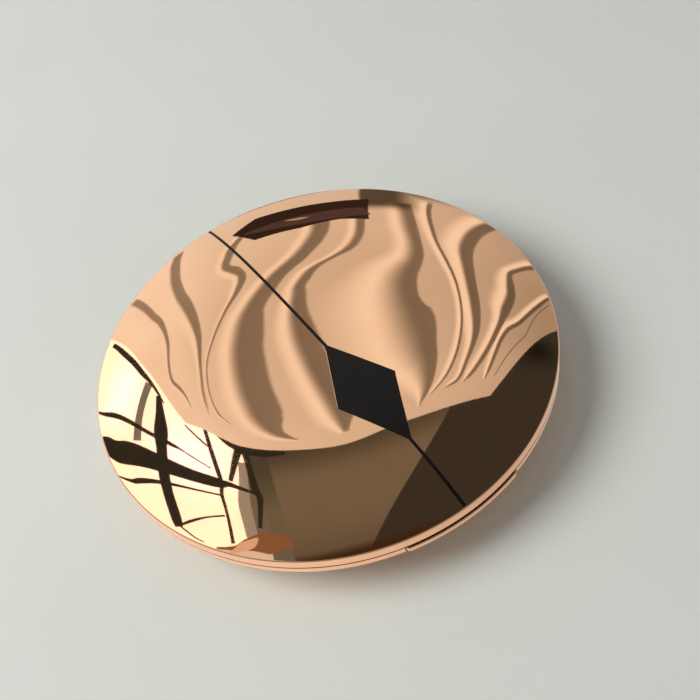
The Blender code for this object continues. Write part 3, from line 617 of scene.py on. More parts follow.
def make_bowl():
    lip = arc((RADIUS - RIM_CHAMFER, BASE_HEIGHT - RIM_CHAMFER), RIM_CHAMFER, QUARTER, 0.0)
    shoulder = arc((RADIUS - SHOULDER_ROUND, SHOULDER_Z), SHOULDER_ROUND, 0.0, SIDE_START)
    side = arc(SIDE_CENTRE, SIDE_RADIUS, SIDE_START, SIDE_END, FINE_STEPS)
    recess = FOOT_RADIUS - FOOT_RING
    bowl = lathe("polished_bowl", [(0.0, BASE_HEIGHT), *lip, *shoulder, *side[1:], (recess, 0.0),
                                   (recess - FOOT_RECESS, FOOT_RECESS), (0.0, FOOT_RECESS)])
    above = BASE_HEIGHT + CLEAR_OF_ALL
    inner_side = arc(SIDE_CENTRE, INNER_SIDE, INNER_START, INNER_END, FINE_STEPS // 2)
    cavity = lathe("cavity", [(0.0, above), (BOWL_INNER, above), (BOWL_INNER, LEDGE_Z),
                              (LEDGE_RADIUS, LEDGE_Z), *inner_side, (0.0, BASE_FLOOR)])
    carve(cavity, "DIFFERENCE",
          block("hinge_block", (-BLOCK_HALF, BLOCK_Y, -CLEAR_OF_ALL),
                (BLOCK_HALF, RADIUS + CLEAR_OF_ALL, above + CLEAR_OF_ALL)),
          leaf_seat("leaf_post", LEAF_SEAT_WALL, -CLEAR_OF_ALL, LEAF_SEAT_TOP))
    carve(bowl, "DIFFERENCE", cavity, hinge_rod("tail_room", SWING_RADIUS, -SWING_HALF, SWING_HALF))
    reach = SWING_RADIUS + OVERLAP
    top = BASE_HEIGHT - RIM_CHAMFER
    web = [(HINGE_Y, HINGE_Z), (HINGE_Y - KNUCKLE_RADIUS / 2, top), (HINGE_Y - reach, top),
           (HINGE_Y + reach * math.cos(WEB_ANGLE), HINGE_Z + reach * math.sin(WEB_ANGLE))]
    start = LID_KNUCKLE_HALF + KNUCKLE_GAP
    end = HINGE_WIDTH / 2
    for low, high in ((-end, -start), (start, end)):
        knuckle = carve(hinge_rod("knuckle", KNUCKLE_RADIUS, low, high), "UNION",
                        prism("web", web, low, high, axis="X"))
        carve(bowl, "UNION", knuckle)
    notch = carve(front_block("notch", NOTCH_HALF, BUTTON_BOTTOM - BUTTON_GAP, above), "INTERSECT",
                  ring("notch_ring", WING_INNER, RADIUS + CLEAR_OF_ALL / 2, BASE_FLOOR,
                       above - OVERLAP))
    carve(bowl, "DIFFERENCE", notch,
          hinge_rod("bore", BORE_RADIUS, -end - CLEAR_OF_ALL, end + CLEAR_OF_ALL),
          leaf_seat("leaf_slot", SEAT_GAP, LEAF_BOTTOM - SEAT_GAP, BASE_HEIGHT))
    settle(soften(bowl), "gold", "base", "base_shell")
    # Faces in the recess round the hinge take the darker, duller finish: painted shade there
    bowl.data.materials.append(SURFACES["dull_shaded_recess"].material)
    for face in bowl.data.polygons:
        off_hinge = math.hypot(face.center.y - HINGE_Y, face.center.z - HINGE_Z)
        if off_hinge < SWING_RADIUS + ON_SURFACE and abs(face.center.x) < SWING_HALF + WELD:
            face.material_index = 1


def make_leaf():
    """The latch leaf, built in place; on the compact it bends off the hook as the button goes in."""
    stairs = [LEAF_SEAT_TOP + (LIP_BOTTOM - LEAF_SEAT_TOP) * step / LEAF_STEPS
              for step in range(LEAF_STEPS)]
    tip = LEAF_FRONT - LIP_LENGTH
    bend = LEAF_BACK - LEAF_FRONT
    outline = [(LEAF_BACK, LEAF_BOTTOM), *((LEAF_BACK, height) for height in stairs),
               *arc((LEAF_FRONT, LIP_BOTTOM), bend, 0.0, QUARTER),
               (tip, (LIP_TOP + LIP_BOTTOM) / 2), (tip, LIP_BOTTOM), (LEAF_FRONT, LIP_BOTTOM),
               *((LEAF_FRONT, height) for height in stairs[::-1]), (LEAF_FRONT, LEAF_BOTTOM)]
    leaf = soften(prism("latch_leaf", outline, -LEAF_HALF, LEAF_HALF, axis="X"))
    dress(leaf, "steel")
    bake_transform(leaf)
    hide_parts("latch_spring")


def make_tray():
    lip = arc((WELL_RADIUS + DECK_ROUND, DECK_TOP - DECK_ROUND), DECK_ROUND, math.pi, QUARTER)
    rim = arc((TRAY_RADIUS - DECK_ROUND, DECK_TOP - DECK_ROUND), DECK_ROUND, QUARTER, 0.0)
    profile = [(0.0, WELL_BOTTOM), (WELL_RADIUS, WELL_BOTTOM), *lip, *rim,
               (TRAY_RADIUS, DECK_BOTTOM), (WELL_OUTER, DECK_BOTTOM), (WELL_OUTER, WELL_UNDER),
               (0.0, WELL_UNDER)]
    tray = lathe("deck_tray", profile)
    above = BASE_HEIGHT + CLEAR_OF_ALL
    hinge_cut = block("hinge_cut", (-BLOCK_HALF - SIDE_GAP, BLOCK_Y - SIDE_GAP, 0.0),
                      (BLOCK_HALF + SIDE_GAP, RADIUS + CLEAR_OF_ALL, above))
    front_cut = carve(front_block("button_cut", WING_HALF, BASE_FLOOR, above), "INTERSECT",
                      ring("button_ring", -HOOK_FRONT, RADIUS, BASE_FLOOR + OVERLAP,
                           above - OVERLAP))
    half = HOOK_HALF + 2 * LATCH_CLEARANCE
    hook_cut = block("hook_cut", (-half, HOOK_FRONT - OVERLAP, DECK_BOTTOM - OVERLAP),
                     (half, LEAF_BACK + LATCH_CLEARANCE, above))
    carve(tray, "DIFFERENCE", hinge_cut, front_cut, hook_cut)
    settle(soften(tray), "satin", "base", "base_tray")


def make_powder():
    centre = (PAN_RADIUS - PAN_CORNER, PAN_BOTTOM + PAN_CORNER)
    curl = PAN_SHEET / 2
    profile = [(0.0, PAN_BOTTOM + PAN_SHEET), *arc(centre, PAN_CORNER - PAN_SHEET, -QUARTER, 0.0),
               *arc((PAN_RADIUS - curl, PAN_TOP - curl), curl, math.pi, 0.0),
               *arc(centre, PAN_CORNER, 0.0, -QUARTER), (0.0, PAN_BOTTOM)]
    settle(soften(lathe("tin_pan", profile)), "tin", "base", "powder_pan")

    face = []
    for step in range(2 * FINE_STEPS):
        radius = CAKE_RADIUS * step / (2 * FINE_STEPS)
        off_groove = min(1.0, abs(radius - GROOVE_RADIUS) / (GROOVE_WIDTH / 2))
        dip = GROOVE_DEPTH * (1 + math.cos(math.pi * off_groove)) / 2
        face.append((radius, PAN_TOP + CAKE_CROWN * (1 - (radius / CAKE_RADIUS) ** 2) - dip))
    profile = [*face, (CAKE_RADIUS, PAN_TOP), (CAKE_RADIUS, CAKE_BOTTOM + PAN_CORNER),
               (CAKE_RADIUS - PAN_CORNER, CAKE_BOTTOM), (0.0, CAKE_BOTTOM)]
    settle(soften(lathe("powder_face", profile)), "powder", "base", "powder_cake")


def button_bar():
    """The curved bar that shows, with its ends rounded as seen from above."""
    face = RADIUS + BUTTON_PROUD
    section = [(BUTTON_BACK, BUTTON_TOP),
               *arc((face - BUTTON_ROUND, BUTTON_TOP - BUTTON_ROUND), BUTTON_ROUND, QUARTER, 0.0),
               (face, BUTTON_TOP - BUTTON_ROUND - BUTTON_UPRIGHT),
               (bowl_radius(BUTTON_BOTTOM) + BUTTON_PROUD, BUTTON_BOTTOM),
               (BUTTON_BACK, BUTTON_BOTTOM)]
    build = bmesh.new()
    rows = []
    for step in range(FINE_STEPS * 2 + 1):
        # Closer steps towards the ends, where the outline turns
        across = BUTTON_HALF * math.sin(QUARTER * (step / FINE_STEPS - 1))
        short = max(0.0, BUTTON_END_ROUND - (BUTTON_HALF - abs(across)))
        inset = BUTTON_END_ROUND - math.sqrt(BUTTON_END_ROUND ** 2 - short ** 2)
        row = []
        for radius, height in section:
            reach = radius - inset if radius > BUTTON_BACK else radius
            row.append(build.verts.new((across, -math.sqrt(reach ** 2 - across ** 2), height)))
        rows.append(row)
    for first, second in zip(rows, rows[1:]):
        bridge(build, first, second)
    build.faces.new(rows[0])
    build.faces.new(rows[-1])
    return add_object("front_button", build)


def make_button():
    button = button_bar()
    wings = carve(ring("wings", WING_INNER, WING_OUTER, BUTTON_BOTTOM, WING_TOP), "INTERSECT",
                  front_block("wing_span", WING_HALF, 0.0, BASE_HEIGHT))
    ties = carve(ring("ties", (WING_INNER + WING_OUTER) / 2, BUTTON_BACK + OVERLAP,
                      BUTTON_BOTTOM + TIE_INSET, WING_TOP - TIE_INSET), "INTERSECT",
                 front_block("tie_span", BUTTON_HALF - TIE_INSET, 0.0, BASE_HEIGHT))
    carve(wings, "UNION", ties)
    carve(wings, "DIFFERENCE",
          block("middle", (-WING_START, -RADIUS, 0.0), (WING_START, 0.0, BASE_HEIGHT)))
    legs = []
    for middle in (-LEG_SPACING / 2, LEG_SPACING / 2):
        low = (middle - LEG_WIDTH / 2, -BUTTON_BACK - OVERLAP, BUTTON_BOTTOM + TIE_INSET)
        legs.append(block("leg", low, (middle + LEG_WIDTH / 2, LEG_END, NOSE_TOP)))
    carve(button, "UNION", wings, *legs)
    settle(soften(button), "gold", "button", "push_button")


finish_enamel_and_powder()
make_lid(make_inlays())
make_liner()
make_mirror()
make_bowl()
make_tray()
make_powder()
make_button()
make_leaf()

for node, surface in (("mirror_pad", "film"), ("pan_magnet", "nickel"), ("hinge_pin", "steel")):
    dress(NODES[node], surface)


# Camera, at the photograph's viewing angle

FOCAL_PIXELS = 1200.0
IMAGE_PIXELS = 700.0
SENSOR = 36.0
NEAREST = 0.01
FARTHEST = 100.0
VIEW_AZIMUTH = math.radians(-22.52)
VIEW_ELEVATION = math.radians(50.34)
VIEW_ROLL = math.radians(-15.43)
VIEW_DISTANCE = 192.06 * MM
VIEW_TARGET = Vector((3.714, -2.505, 10.9)) * MM


def make_camera():
    data = bpy.data.cameras.new("camera")
    data.sensor_width = SENSOR
    data.lens = FOCAL_PIXELS / IMAGE_PIXELS * SENSOR
    data.clip_start = NEAREST
    data.clip_end = FARTHEST
    camera = new_object("camera", data)
    turn = (Matrix.Rotation(VIEW_AZIMUTH, 4, "Z") @ Matrix.Rotation(QUARTER - VIEW_ELEVATION, 4, "X")
            @ Matrix.Rotation(VIEW_ROLL, 4, "Z"))
    back = Matrix.Translation((0.0, 0.0, VIEW_DISTANCE))
    camera.matrix_world = Matrix.Translation(VIEW_TARGET) @ turn @ back
    bpy.context.scene.camera = camera


# Stage: a pale floor, soft light, and cards that show in reflections alone. Places of cards are in
# degrees as seen from the compact: lateral, to the right of what lies behind, and pitch, above that.

CARD_DISTANCE = 3.0
STUDIO_LIGHT = 0.46
STUDIO_LOW = (0.80, 0.82, 0.80)  # colour of the studio at the horizon
STUDIO_HIGH = (0.50, 0.51, 0.50)  # and overhead
VIEW_TURN = np.array(Matrix.Rotation(VIEW_AZIMUTH, 3, "Z"))
CURVE_STEPS = 24
LEAST_WIDTH = 0.05
PALE_TONE = 1.8
PALE_FADE = (-46.5, -5.0)  # start and run


def smooth(value, start=0.0, run=1.0):
    """From 0 at a start to 1 after a run, which may be negative, and level at both ends."""
    share = np.clip((value - start) / run, 0.0, 1.0)
    return share * share * (3.0 - 2.0 * share)


def towards(lateral, pitch, distance):
    """Places in metres at a distance from the compact."""
    side = np.radians(lateral)
    rise = np.radians(pitch)
    ahead = np.cos(side)
    local = np.stack((np.sin(side), ahead * np.cos(rise), ahead * np.sin(rise)), axis=-1)
    return local @ VIEW_TURN.T * distance


def make_glow():
    """A self-lit material in the colours of a card's points."""
    material = bpy.data.materials.new("card_glow")
    material.use_nodes = True
    tree = material.node_tree
    tree.nodes.clear()
    points = add_node(tree, "Attribute")
    points.attribute_name = "shade"
    emission = add_node(tree, "Emission", Color=points.outputs["Color"])
    add_node(tree, "OutputMaterial", Surface=emission.outputs["Emission"])
    return material


GLOW = make_glow()


def add_card(name, places, faces, shade):
    """A card that shows in reflections alone, in one colour or with one for each of its places."""
    mesh = bpy.data.meshes.new(name)
    mesh.from_pydata(places.reshape(-1, 3), [], faces)
    colours = np.ones(places.shape[:-1] + (4,))
    colours[..., :3] = shade
    mesh.attributes.new("shade", "FLOAT_COLOR", "POINT").data.foreach_set("color", colours.ravel())
    mesh.materials.append(GLOW)
    card = new_object(name, mesh)
    for rays in ("camera", "diffuse", "shadow", "transmission", "volume_scatter"):
        setattr(card, "visible_" + rays, False)


def grid_card(name, places, shade):
    """A curved card on a grid of places."""
    rows, columns = places.shape[:2]
    first = np.arange(rows * columns).reshape(rows, columns)
    faces = np.stack((first[:-1, :-1], first[:-1, 1:], first[1:, 1:], first[1:, :-1]), axis=-1)
    add_card(name, places, faces.reshape(-1, 4), shade)


def backdrop(places):
    """Colour of the studio behind places of a card."""
    rise = np.clip(places[..., 2:] / np.linalg.norm(places, axis=-1, keepdims=True), 0.0, 1.0)
    return STUDIO_LIGHT * (np.array(STUDIO_LOW) + rise * np.subtract(STUDIO_HIGH, STUDIO_LOW))


def faded_card(name, depth, lateral, pitch, shade, fade):
    """A curved card, depth times CARD_DISTANCE away, that fades into the studio behind it."""
    places = towards(lateral, pitch, CARD_DISTANCE * depth)
    grid_card(name, places, shade + (backdrop(places) - shade) * fade[..., None])


def tinted(tone, tint):
    return tone[..., None] * np.array(tint)


def flow(points, steps=CURVE_STEPS):
    """A smooth curve through points of any size, as one array for each of their values."""
    table = np.array(points)
    padded = np.vstack((2 * table[0] - table[1], table, 2 * table[-1] - table[-2]))
    along = np.linspace(0.0, len(points) - 1.0, steps * (len(points) - 1) + 1)
    here = np.minimum(along.astype(int), len(points) - 2)
    part = (along - here)[:, None]
    before, start, end, after = (padded[here + shift] for shift in range(4))
    bend = 2 * before - 5 * start + 4 * end - after + part * (3 * start - before - 3 * end + after)
    return (start + 0.5 * part * (end - before + part * bend)).T


def band(points, depth):
    """Places of a band along a smooth curve; points are lateral and pitch with the width there."""
    lateral, pitch, width = flow(points)
    run = np.stack((np.gradient(lateral), np.gradient(pitch)))
    run *= np.maximum(width, LEAST_WIDTH) / 2 / np.hypot(*run)
    sides = np.array([[-1.0], [1.0]])
    return towards(lateral - sides * run[1], pitch + sides * run[0], CARD_DISTANCE * depth)


def ribbon(name, depth, colour, points):
    """A band of one colour, which pales where it reaches the far left."""
    pale = smooth(flow(points)[0], *PALE_FADE)[:, None]
    grid_card(name, band(points, depth), colour + (PALE_TONE - np.array(colour)) * pale)


# Folds of the wavy panel: how far the bright crest reaches and over how much the shade comes on, in
# widths of the shaded side, then lateral place, pitch and width of that side along its line
FOLDS = (
    (1.3, 0.4,
     ((-26.1, 10.1, 1.45), (-25, 18.1, 1.4), (-23.3, 26.7, 1.31), (-21.6, 32.1, 1.17),
      (-20.4, 36.8, 0.89), (-20, 40, 0.79), (-20.2, 42.8, 0.68), (-20.4, 44.9, 0.66),
      (-20.3, 47.3, 0.67), (-19.2, 49.3, 0.66), (-18.4, 50.9, 0.46), (-18.1, 52.7, 0.22))),
    (1.2, 0.4,
     ((-17, 4.1, 1.74), (-18.2, 10, 1.93), (-18.7, 18.3, 1.91), (-18.5, 23.7, 1.87),
      (-17.7, 29.5, 1.87), (-16.4, 34.5, 1.85), (-15.2, 38.5, 1.64), (-14.3, 41.5, 1.38),
      (-13.8, 43.7, 1.14), (-13.7, 45.4, 0.9), (-13.8, 46.9, 0.71), (-14, 48.4, 0.57),
      (-14.3, 49.8, 0.53), (-14.7, 51.2, 0.52), (-15, 52.7, 0.49), (-15.3, 54.7, 0.19))),
    (0.9, 0.4,
     ((-7.9, 18.6, 1.32), (-9.4, 22.6, 1.56), (-9.9, 25.9, 1.53), (-10.2, 28.6, 1.44),
      (-10, 31, 1.23), (-8.9, 33.6, 1.39), (-7.9, 35.8, 1.06), (-7.7, 37.5, 1.13),
      (-7.9, 38.9, 1.13), (-8.2, 40.2, 0.91), (-8.7, 41.3, 0.7), (-9.8, 43.3, 0.54),
      (-11, 45.3, 0.44), (-12.3, 47.5, 0.37), (-12.9, 49, 0.34), (-13.5, 51.1, 0.34),
      (-13.8, 53.2, 0.32), (-13.8, 55.3, 0.34), (-12.9, 57.2, 0.16))),
    (0.8, 0.55,
     ((2, 20.4, 2.41), (1.1, 28.4, 2.3), (0, 32.7, 2.27), (-1.1, 35.7, 2.05), (-2.2, 37.7, 2.13),
      (-3.2, 39, 2.12), (-4.2, 40.3, 2.16), (-5, 41.5, 2.32), (-5.8, 42.7, 2.53), (-6.4, 43.6, 2.59),
      (-7.1, 44.7, 3), (-7.6, 45.9, 3.4), (-8, 47.1, 3.7), (-8.4, 48.3, 3.8), (-8.7, 49.8, 3.9),
      (-9, 51.3, 3.9), (-9.3, 53, 4), (-9.5, 55, 4), (-9.6, 56.8, 3.8), (-9.2, 58.9, 3.1),
      (-8.2, 60.6, 1.8), (-6.6, 61.8, 0.5))),
    (1, 0.6,
     ((7.1, 24.4, 1.28), (6, 31.1, 1.2), (4.8, 35, 1.14), (3.6, 37.4, 1), (2.3, 39, 0.7),
      (1.2, 40, 0.65), (0.1, 40.9, 0.77), (-0.8, 41.8, 0.99), (-1.5, 43, 1.08), (-2.1, 44.3, 1.05),
      (-2.3, 45.5, 1.15), (-2.5, 46.6, 1.2), (-2.65, 47.9, 1.35), (-2.65, 49.1, 1.5),
      (-2.55, 50.4, 1.6), (-2.45, 52.2, 1.75), (-2.2, 55, 2.1), (-1.8, 59, 2.1), (-1.3, 62.2, 0.8))),
    (1.3, 1.05,
     ((13.7, 14.1, 2.03), (13.4, 22.5, 2.11), (12.7, 29.5, 2.17), (12.1, 34.4, 2.05),
      (11.2, 37.8, 2.2), (9.9, 40.4, 2.3), (8.4, 42.2, 2.62), (6.9, 44.1, 3.21), (5.9, 45.8, 3.76),
      (5.3, 47.4, 4.75), (5.1, 48.8, 5.5), (5.2, 50.4, 5.7), (5.6, 52, 5.7), (6.4, 54.2, 4.8),
      (7.4, 56.4, 3.5), (8.1, 58.8, 2.3), (8.3, 60.8, 1.3), (8.1, 62.8, 0.3))),
    (2.2, 0.4,
     ((18.1, 10.2, 0.89), (17, 26, 0.82), (16.4, 33.6, 0.69), (16.4, 38.9, 0.74), (16.5, 43.2, 0.66),
      (16.3, 46.8, 0.6), (15.8, 50.5, 0.6), (14.9, 53.8, 0.64), (13.7, 56.8, 0.68), (12, 59.6, 0.6),
      (10, 61.5, 0.3))),
    (1.5, 0.45,
     ((27.6, 13.1, 2.79), (23, 26.1, 2.8), (20.5, 33.6, 2.8), (19.5, 39.4, 2.6), (18.9, 44, 2.5),
      (18.5, 48.4, 2.5), (18.2, 52.4, 2), (17.5, 55.2, 1.4), (16.1, 58.2, 0.95), (14.6, 61.1, 0.78),
      (12.7, 61.8, 0.37))),
    (1.6, 0.45,
     ((37.1, 25.9, 1.47), (33.3, 31.6, 1.21), (30.4, 35.7, 1.27), (29.4, 39.6, 2.2),
      (28.6, 43.8, 2.5), (26.4, 48.1, 2.5), (25, 51.4, 1.6), (22.3, 55.6, 1.28), (19.6, 58.8, 1.19),
      (17.3, 61.1, 0.95), (16.2, 62, 0.41))),
    (1.6, 0.4,
     ((41.1, 36.6, 0.94), (36.8, 43.5, 1.09), (31.5, 50, 1.11), (27.5, 52.7, 1.09),
      (25.1, 55.2, 1.12), (23.5, 57.9, 1.05), (21.9, 61.1, 0.94), (21, 63.1, 0.43))),
    (0, 0.4,
     ((41.2, 39.8, 0.3), (35.6, 48.7, 0.32), (32.8, 53.9, 0.34), (29.5, 56.9, 0.34),
      (26.4, 59.9, 0.36), (23.7, 63.2, 0.3))),
)
FOLD_STEPS = 8
FOLD_CHUNK = 4000000  # distances that are worked out at once
FOLD_END = 0.8  # degrees over which a fold dies away past its ends
FOLD_MARGIN = 1.0  # degrees round a fold's reach that are looked at too
CREST_LEAST = 0.1  # degrees that the crest reaches at least
CREST_RISE = 0.7  # share of the crest over which it brightens
EDGE_LEAST = 0.08  # degrees over which the shade ends, at least
EDGE_SHARE = 0.10  # and what its width adds to that
SHADE_EASE = 0.06  # how much lighter the shade is at its far side
PANEL_TOP = ((-34, 46), (-20.6, 55.4), (-17.6, 57.6), (-15.2, 60.2), (-13.6, 61.8), (-10.6, 63.3),
             (-6.5, 64.5), (-1.4, 65.6), (4.1, 65.1), (10, 65.9), (22.8, 68.1))
PANEL_SIDE = ((-34, -6), (-31.8, 15.9), (-27.6, 34.4), (-25, 42), (-22.7, 48.6), (-20.6, 55.4))
PANEL_CORNER = (22.8, 68.1, 0.95)  # where the top turns down, and how steeply
PANEL_LOW = -4.0
PANEL_RIGHT = 60.0
PANEL_FADE = (47.0, 13.0)  # where it fades to the right: start and run
PANEL_COLUMNS = (700, ((0.0, 0.0), (0.1, 0.11), (0.85, 0.61), (1.0, 1.0)))
PANEL_ROWS = (360, ((0.0, 0.0), (0.3, 0.6), (1.0, 1.0)))
PANEL_ROUNDS = 20
PANEL_TONES = ((-26, 0.98), (-18, 0.94), (-10, 0.79), (0, 0.7), (12, 0.66), (24, 0.56), (38, 0.42))
PANEL_LIFTS = ((54.0, 8.0, 0.06), (46.0, -18.0, 0.07))  # start and run in pitch, and lift
PANEL_CREST = 1.02
PANEL_DEPTH = 0.68
PANEL_HUE = (1.0, 1.04, 1.12)  # powers that colour the tone
PATCH_LEFT = (8.2, 0.6)
# Shaded patches at the foot of the panel: start and run in lateral, in pitch, and their depth
PATCHES = (((18.0, -5.0), (21.0, -6.0), 0.86), ((32.0, -8.0), (11.0, -6.0), 0.6))


def panel_top(lateral):
    """Upper edge of the panel: a low arch with a corner at the right."""
    side, top, fall = PANEL_CORNER
    return np.minimum(np.interp(lateral, *flow(PANEL_TOP)), top - fall * (lateral - side))


def beside(lateral, pitch, points):
    """How far places lie to the right of a curve, its width there, and how far past its ends."""
    line, level, width = flow(points, FOLD_STEPS)
    run = np.stack((np.gradient(line), np.gradient(level)))
    run /= np.hypot(*run)
    near = np.empty(lateral.size, int)
    chunks = 1 + lateral.size * line.size // FOLD_CHUNK
    for part in np.array_split(np.arange(lateral.size), chunks):
        off = (lateral[part, None] - line) ** 2 + (pitch[part, None] - level) ** 2
        near[part] = off.argmin(axis=1)
    across = lateral - line[near]
    along = pitch - level[near]
    off = run[1][near] * across - run[0][near] * along
    at_end = (near == 0) | (near == line.size - 1)
    return off, width[near], at_end * np.abs(run[0][near] * across + run[1][near] * along)


def within(value, line, margin):
    """Which values are no further than a margin from those of a line."""
    return np.abs(value - (line.min() + line.max()) / 2) < np.ptp(line) / 2 + margin


def fold_shades(lateral, pitch):
    """Strength of the bright crests and of the shaded sides of all folds."""
    bright = np.zeros_like(lateral)
    dark = np.zeros_like(lateral)
    for reach, onset, points in FOLDS:
        line, level, width = np.array(points).T
        margin = (1.0 + reach) * width.max() + FOLD_MARGIN
        here = within(lateral, line, margin) & within(pitch, level, margin)
        off, wide, past = beside(lateral[here], pitch[here], points)
        fade = 1.0 - smooth(past / FOLD_END)
        rise = smooth(off / (onset * wide) + 0.5)
        crest = CREST_LEAST + reach * wide
        edge = EDGE_LEAST + EDGE_SHARE * wide
        if reach:
            glint = fade * smooth((off + crest) / (CREST_RISE * crest)) * (1.0 - rise)
            bright[here] = np.maximum(bright[here], glint)
        shaded = fade * rise * (1.0 - smooth((off - wide + edge) / edge))
        dark[here] = np.maximum(dark[here], shaded * (1.0 - SHADE_EASE * smooth(off / wide)))
    return bright, dark


def panel_shade(lateral, pitch):
    """Colour of the panel, lit from the left: each fold has a bright crest and a shaded side."""
    tone = np.interp(lateral, *np.array(PANEL_TONES).T)
    for start, run, lift in PANEL_LIFTS:
        tone += lift * smooth(pitch, start, run)
    bright, dark = fold_shades(lateral, pitch)
    shade = tone * (1.0 - PANEL_DEPTH * dark) + (PANEL_CREST - tone) * bright * (1.0 - dark)
    patch = np.zeros_like(shade)
    for side, level, depth in PATCHES:
        patch = np.maximum(patch, smooth(lateral, *side) * smooth(pitch, *level) * depth)
    shade *= 1.0 - smooth(lateral, *PATCH_LEFT) * patch
    return shade[..., None] ** np.array(PANEL_HUE)


def spread(count, turns):
    """Numbers from 0 to 1, closer where the turning points say so."""
    return np.interp(np.linspace(0.0, 1.0, count), *np.array(turns).T)


def make_panel():
    share, rise = np.meshgrid(spread(*PANEL_COLUMNS), spread(*PANEL_ROWS))
    side, level = flow(PANEL_SIDE)
    lateral = side[0] + (PANEL_RIGHT - side[0]) * share
    for _ in range(PANEL_ROUNDS):
        # The two edges depend on each other, and settle after a few rounds
        pitch = PANEL_LOW + (panel_top(lateral) - PANEL_LOW) * rise
        left = np.interp(pitch, level, side)
        lateral = left + (PANEL_RIGHT - left) * share
    faded_card("wavy_panel", 1.0, lateral, pitch, panel_shade(lateral, pitch),
               smooth(lateral, *PANEL_FADE))


# Dark bars before the window, each along a smooth curve: lateral place, pitch and width
WINDOW_BARS = (
    ((-32.2, 18.5, 0.8), (-30.4, 28.1, 1.1), (-27.3, 38.6, 1.1), (-25.5, 43.3, 0.8),
     (-24.3, 46.9, 0.6), (-23.6, 49.8, 0.3)),
    ((-24.3, 47.6, 1.3), (-25.5, 50.9, 2.5), (-27.4, 54.5, 4), (-29.5, 58.1, 3.1), (-32.8, 64, 3.2),
     (-35.2, 69.8, 3), (-37.6, 77.6, 3), (-38.6, 81, 2.2)),
    ((-43.4, 28.5, 0.4), (-41.2, 34.8, 0.8), (-39, 39.1, 1.2), (-32.1, 51.1, 1), (-26.7, 58, 1),
     (-24.7, 60.5, 0.4), (-21.2, 66.1, 0.3)),
    ((-53, 31, 1.4), (-47.6, 37.6, 2.4), (-44.9, 42.6, 3.6), (-43.3, 47.6, 4.9), (-40.2, 52.4, 6.3),
     (-32.7, 60.7, 4.8), (-26.8, 66.4, 3.6), (-21.9, 70.2, 3), (-19.9, 71.3, 1.5),
     (-16.8, 74.8, 0.7)),
    ((-48, 52.5, 0.4), (-45, 58, 0.7), (-43, 60.6, 1.3), (-41.2, 61.9, 1.9), (-34.8, 66.1, 1.2),
     (-28.5, 70.4, 0.7), (-23.3, 73.8, 0.6)),
    ((-17.5, 57.5, 0.7), (-19.9, 65.6, 0.9), (-21.3, 70.3, 0.8), (-23, 73.7, 0.8), (-24.6, 79, 0.7),
     (-28.4, 90.9, 0.9)),
    ((-21, 55.6, 0.3), (-20, 58.1, 0.4), (-18.9, 60.9, 0.4)),
    ((-37.8, 80.6, 0.9), (-34.1, 80.1, 1.1), (-29.8, 80, 0.7), (-25.7, 80.5, 0.7)),
    ((-14.1, 62.4, 1.3), (-16.2, 65.4, 1.1), (-19.4, 70.2, 0.8)),
    ((-13.5, 63.1, 1), (-14.8, 67.9, 1), (-16.4, 73.9, 1.4), (-16.8, 77, 1.1), (-20.5, 86.7, 0.8)),
    ((-16, 58.8, 0.5), (-14.7, 61.2, 1.5), (-13.2, 62.8, 2), (-11, 64, 2), (-8.4, 64.4, 1.2)),
    ((-38.1, 81.1, 0.6), (-36.4, 86.1, 0.5), (-34.9, 88.5, 0.4)),
)
BAR_DEPTH = 1.2
BAR_TONE = (0.030, 0.034, 0.030)

# Plain ribbons by the window: name, distance in CARD_DISTANCE, colour, and points as for the bars
WINDOW_TRIM = (
    ("window_blind", 1.25, (0.22, 0.25, 0.27),
     ((-25.8, 43.6, 2.7), (-28.4, 45.4, 2.5), (-31.8, 48.4, 2.6), (-35.1, 52.4, 2.9))),
    ("window_reveal", 1.3, (0.36, 0.4, 0.42),
     ((-15.2, 65.6, 1), (-16.9, 70.8, 2.1), (-19.7, 78, 3.3), (-21.9, 86.3, 3.6), (-23.1, 91, 3.6))),
    ("reveal_shadow", 1.28, (0.19, 0.185, 0.17),
     ((-14.9, 67.6, 0.5), (-16, 71.6, 1.3), (-17.9, 78.4, 2.3), (-19.9, 86.6, 2.7),
      (-20.9, 91, 2.7))),
)

# Edges of sheets: (lateral, pitch) points
WINDOW_EDGE = ((-12.2, 5), (-12.2, 42.4), (-12.3, 59.2), (-14.7, 67.9), (-16.6, 75.5), (-19.8, 89.7),
               (-23, 104))
FRAME_EDGE = ((-8.9, 56), (-10.6, 63.4), (-12.2, 70.1), (-13.9, 78.5), (-15.7, 88.2), (-17.4, 99.1),
              (-18, 104))
CORNER_EDGE = ((20.5, 50), (10.6, 73.5), (-2.1, 104))
LEFT_EDGE = ((-62, 0), (-62, 110))
RIGHT_EDGE = ((75, 0), (75, 150))
SHEET_GRID = (60, 90)
STAGE_TOP = 132.0

# Where sheets fade into the studio, past what the compact shows the camera: start and run
TOP_FADE = (105.0, 27.0)
LEFT_FADE = (-50.0, -11.0)
RIGHT_FADE = (50.0, 22.0)

WINDOW_TONE = (1.9, 1.75, 1.75)
WINDOW_WHITER = (0.2, 0.2, 0.95)  # what its whiter places add
WINDOW_WHITE = ((-24.5, 62.0, 9.0), (-33.5, 38.0, 8.0))  # and where: lateral, pitch, size
SIDE_TONE = (0.078, 0.083, 0.069)
SIDE_LIFT = 1.05
SIDE_RISE = (66.0, 18.0)
HEAD_TONE = (0.80, 0.80, 0.85)
CEILING_DIM = 0.07
CEILING_LIFT = 0.115
CEILING_RISE = (62.3, 11.4)
CEILING_DROP = 0.4
CEILING_FALL = (83.3, 20.0)
CEILING_TINT = (1.0, 0.97, 0.80)
CORNER_TONE = 0.046
CORNER_TINT = (1.0, 1.03, 0.97)
SPOT_PLACE = (36.5, 57.5)
SPOT_SIZE = (8.0, 4.2)
SPOT_DEPTH = 0.7
NEAR_TONE = (0.052, 0.030, 0.014)
NEAR_TURN = (98.5, 4.5)

